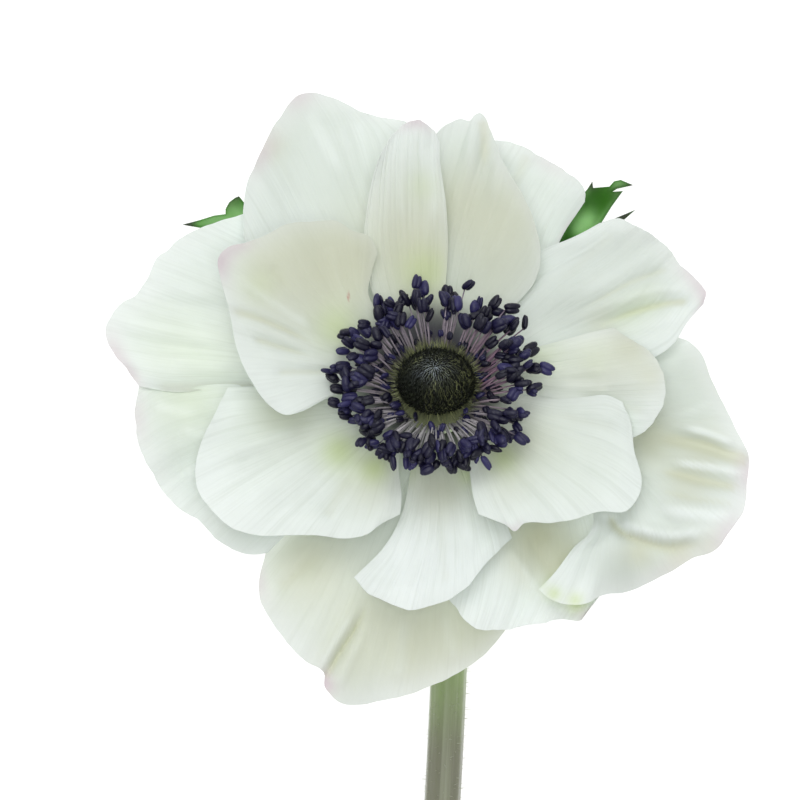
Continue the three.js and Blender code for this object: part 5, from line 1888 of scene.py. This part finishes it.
@dataclass
class PistilDome:
    """The dark dome: a core covered in packed pistils, each with a fine pale style."""

    radius: float = 5.1
    flatness: float = 0.88  # its size along the bloom's Y, as a share of its size along X
    height: float = 6.4
    foot: float = 1.9  # height of the dome's foot above the bloom's centre
    waist_share: float = 0.3  # where it is widest, as a share of its height
    upright_share: float = 0.7  # how much of its height is above that
    spread: float = 1.22  # how far down its sides the pistils go
    core_share: float = 0.95  # the core's size, as a share of the dome's
    core_cut: float = -0.38  # where the core is cut off, as a share of its half height
    pistil_count: int = 300
    pistil_radius: float = 0.34
    hair_count: int = 1500
    hair_radius: float = 0.065
    hair_bow: float = 1.6
    seed: int = 47

    def surface(self, rank: float, angle: float) -> tuple[Vector, Vector]:
        """Finds a point on the dome.

        Args:
            rank: how far down it is, from 0 at the top to 1.
            angle: where it is round the dome.

        Returns:
            The point in the bloom's frame, and its outward direction.
        """
        polar = math.acos(1 - self.spread * rank)
        across, ahead = self.radius, self.radius * self.flatness
        upright = self.upright_share * self.height
        x, y, z = math.sin(polar) * math.cos(angle), math.sin(polar) * math.sin(angle), math.cos(polar)
        point = Vector((across * x, ahead * y, self.foot + self.waist_share * self.height + upright * z))
        return point, Vector((x / across, y / ahead, z / upright)).normalized()

    def build_core(self) -> None:
        """Builds the dome's core from a sphere that is cut off at its foot, with shallow furrows."""
        deselect_all()
        bpy.ops.mesh.primitive_uv_sphere_add(segments=64, ring_count=40, radius=1.0)
        core = named("dome_core")
        with edit_mode(core):
            bpy.ops.mesh.bisect(plane_co=(0, 0, self.core_cut), plane_no=(0, 0, 1), clear_inner=True,
                                use_fill=True)
        x, y, z = points_of(core.data).T
        furrows = 1 + 0.02 * np.cos(15 * np.arctan2(y, x) + 6.3 * z) * np.minimum(1, 2 * np.hypot(x, y))
        across = self.core_share * self.radius * furrows
        waist = self.foot + self.waist_share * self.height
        upright = self.core_share * self.upright_share * self.height
        set_points(core.data, np.column_stack([across * x, across * self.flatness * y, waist + upright * z]))
        core.data.transform(FRAME.matrix())
        set_tone(core.data, "tone", 0.2)
        skin = TissueFinish("dome_core_skin", linear(12, 15, 10), linear(28, 34, 18), linear(6, 8, 6))
        hand_over(core, Slot.PISTIL, "pistil_dome", material=skin.make())

    def build(self) -> None:
        """Builds the core, the pistils and their styles."""
        self.build_core()
        draws = random.Random(self.seed)
        bloom = FRAME.matrix()
        pistils = []
        for index in range(self.pistil_count):
            rank = (index + 0.5) / self.pistil_count
            point, normal = self.surface(rank, index * GOLDEN_ANGLE)
            matrix = bloom @ aim(point - normal * 0.45, point + normal * 0.12,
                                 self.pistil_radius * draws.uniform(0.85, 1.1), Vector((0, 0, 1)))
            pistils.append((matrix, {"tone": draws.random() * (0.3 + 0.7 * rank)}))
        deselect_all()
        bpy.ops.mesh.primitive_uv_sphere_add(segments=8, ring_count=5, radius=1.0)
        bead = named("pistil")
        set_points(bead.data, points_of(bead.data) * (1.0, 1.0, 0.6) + (0.0, 0.0, 0.4))
        beads = join_copies("dome_pistils", bead, pistils)
        skin = TissueFinish("pistil_skin", linear(12, 15, 11), linear(38, 44, 26), linear(6, 7, 6),
                            sheen=0.0, specular=0.25)
        hand_over(beads, Slot.PISTIL, "pistil_dome", material=skin.make())
        self.build_styles(draws, bloom)

    def build_styles(self, draws: random.Random, bloom: Matrix) -> None:
        """Covers the dome with fine styles that lean toward its top, and out round its foot.

        Args:
            draws: where the dome's random numbers come from.
            bloom: the bloom's frame to the part's frame.
        """
        places = []
        for index in range(self.hair_count):
            rank = (index + 0.5) / self.hair_count
            angle = index * GOLDEN_ANGLE + draws.uniform(-0.08, 0.08)
            point, normal = self.surface(rank, angle)
            around = Vector((-math.sin(angle), math.cos(angle), 0))
            upward = around.cross(normal) * -1
            seen = rank + 0.33 * math.sin(angle)
            collar = seen > 0.78 or rank > 0.86
            if collar:
                upward = normal * draws.uniform(0.6, 1.2)
            outward, sideways = draws.uniform(0.3, 0.6), draws.uniform(-0.3, 0.3)
            lean = (normal * outward + upward + around * sideways).normalized()
            length = draws.uniform(1.0, 1.7) * min(1.0, 0.35 + 1.6 * rank)
            matrix = bloom @ aim(point - normal * 0.1, point + lean * length, self.hair_radius, normal)
            dark_edge = 0.95 * ramp(seen, 0.4, 0.58)
            dark_side = 0.9 * ramp(-point.x, 0.6, 2.4) * ramp(-point.y, -1.4, 0.6)
            tone = draws.random() * (1 - dark_edge) * (1 - dark_side)
            tone *= 0.55 + 0.45 * math.sin(2.3 * point.x + 1.3) * math.sin(1.7 * point.y - 0.9)
            if collar:
                patchy = 0.65 + 0.35 * math.sin(3 * angle + 0.6) * math.sin(7 * angle)
                tone = draws.uniform(0.25, 0.9) * patchy
            # The glint is a painted highlight: bluish-white on the styles near the dome's top.
            off_centre = (point.x + 0.5) ** 2 / 4.8 + (point.y + 0.2) ** 2 / 2.8
            glint = draws.random() ** 0.5 * math.exp(-off_centre)
            glint *= 0.75 + 0.25 * math.sin(3.1 * point.x - 0.4) * math.cos(3.4 * point.y + 0.5)
            places.append((matrix, {"tone": min(1.0, float(tone)), "glint": glint}))
        styles = join_copies("dome_styles", small_stalk("style", 3, (1.0, 0.15), self.hair_bow), places)
        skin = TissueFinish("style_skin", linear(20, 25, 16), linear(182, 188, 130), linear(58, 66, 50),
                            glint=linear(224, 236, 248), roughness=0.4, sheen=0.0, specular=0.5)
        hand_over(styles, Slot.PISTIL, "pistil_dome", material=skin.make())


# Light, floor and camera


@dataclass(frozen=True)
class Studio:
    """White floor, even white surroundings, a broad lamp beyond the bloom and the camera."""

    field: float = 106.67  # what the picture's side covers at focus_height
    focus_height: float = 16.0
    camera_height: float = 2500.0
    aim: Pair = (-3.6, 45.17)
    sensor: float = 36.0
    far_end: float = 20.0  # how far the camera sees, in metres
    floor_size: float = 3.0
    floor_gap: float = 0.0002
    surroundings: float = 0.52
    cool: Triple = (0.97, 1.0, 1.0)
    lit_place: Triple = (0.0, 0.045, 0.015)  # what the lamps point at
    # Each lamp's name, place, side and power in watts
    lamps: Sequence[tuple[str, Triple, float, float]] = (
        ("key", (-0.15, 0.8, 1.05), 1.1, 6.3), ("fill", (0.0, 0.0, 1.7), 0.5, 5.8),
    )

    def build(self) -> None:
        """Builds the studio."""
        self.add_floor()
        for lamp in self.lamps:
            self.add_light(*lamp)
        world = bpy.data.worlds.new("studio")
        world.use_nodes = True
        background = world.node_tree.nodes["Background"]
        background.inputs["Color"].default_value = (1.0, 1.0, 1.0, 1.0)
        background.inputs["Strength"].default_value = self.surroundings
        bpy.context.scene.world = world
        view = bpy.context.scene.view_settings
        view.view_transform = "Standard"
        view.look = "None"
        self.add_camera()

    def add_floor(self) -> None:
        """Lays the floor just below the flower."""
        deselect_all()
        bpy.ops.mesh.primitive_plane_add(size=self.floor_size, location=(0, 0, -self.floor_gap))
        floor = named("floor")
        floor.data.materials.append(FloorFinish().make())

    def add_light(self, name: str, place: Triple, size: float, power: float) -> None:
        """Hangs a broad lamp that points at the bloom.

        Args:
            name: the lamp's name.
            place: where it hangs, in metres.
            size: its side, in metres.
            power: its power in watts.
        """
        lamp = bpy.data.lights.new(name, "AREA")
        lamp.size = size
        lamp.color = self.cool
        lamp.energy = power
        holder = bpy.data.objects.new(name, lamp)
        holder.location = place
        toward = Vector(self.lit_place) - Vector(place)
        holder.rotation_euler = toward.to_track_quat("-Z", "Y").to_euler()
        bpy.context.collection.objects.link(holder)

    def add_camera(self) -> None:
        """Sets the camera straight above the flower."""
        lens = bpy.data.cameras.new("camera")
        lens.sensor_width = self.sensor
        lens.lens = self.sensor * (self.camera_height - self.focus_height) / self.field
        lens.clip_end = self.far_end
        camera = bpy.data.objects.new("camera", lens)
        camera.location = (self.aim[0] * MM, self.aim[1] * MM, self.camera_height * MM)
        bpy.context.collection.objects.link(camera)
        bpy.context.scene.camera = camera


def main() -> None:
    """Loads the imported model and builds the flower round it."""
    logging.basicConfig(level=logging.INFO, format="%(message)s")
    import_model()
    deselect_all()
    Studio().build()
    build_corolla()
    Stem().build()
    build_bracts()
    Stamens().build()
    PistilDome().build()


if __name__ == "__main__":
    main()
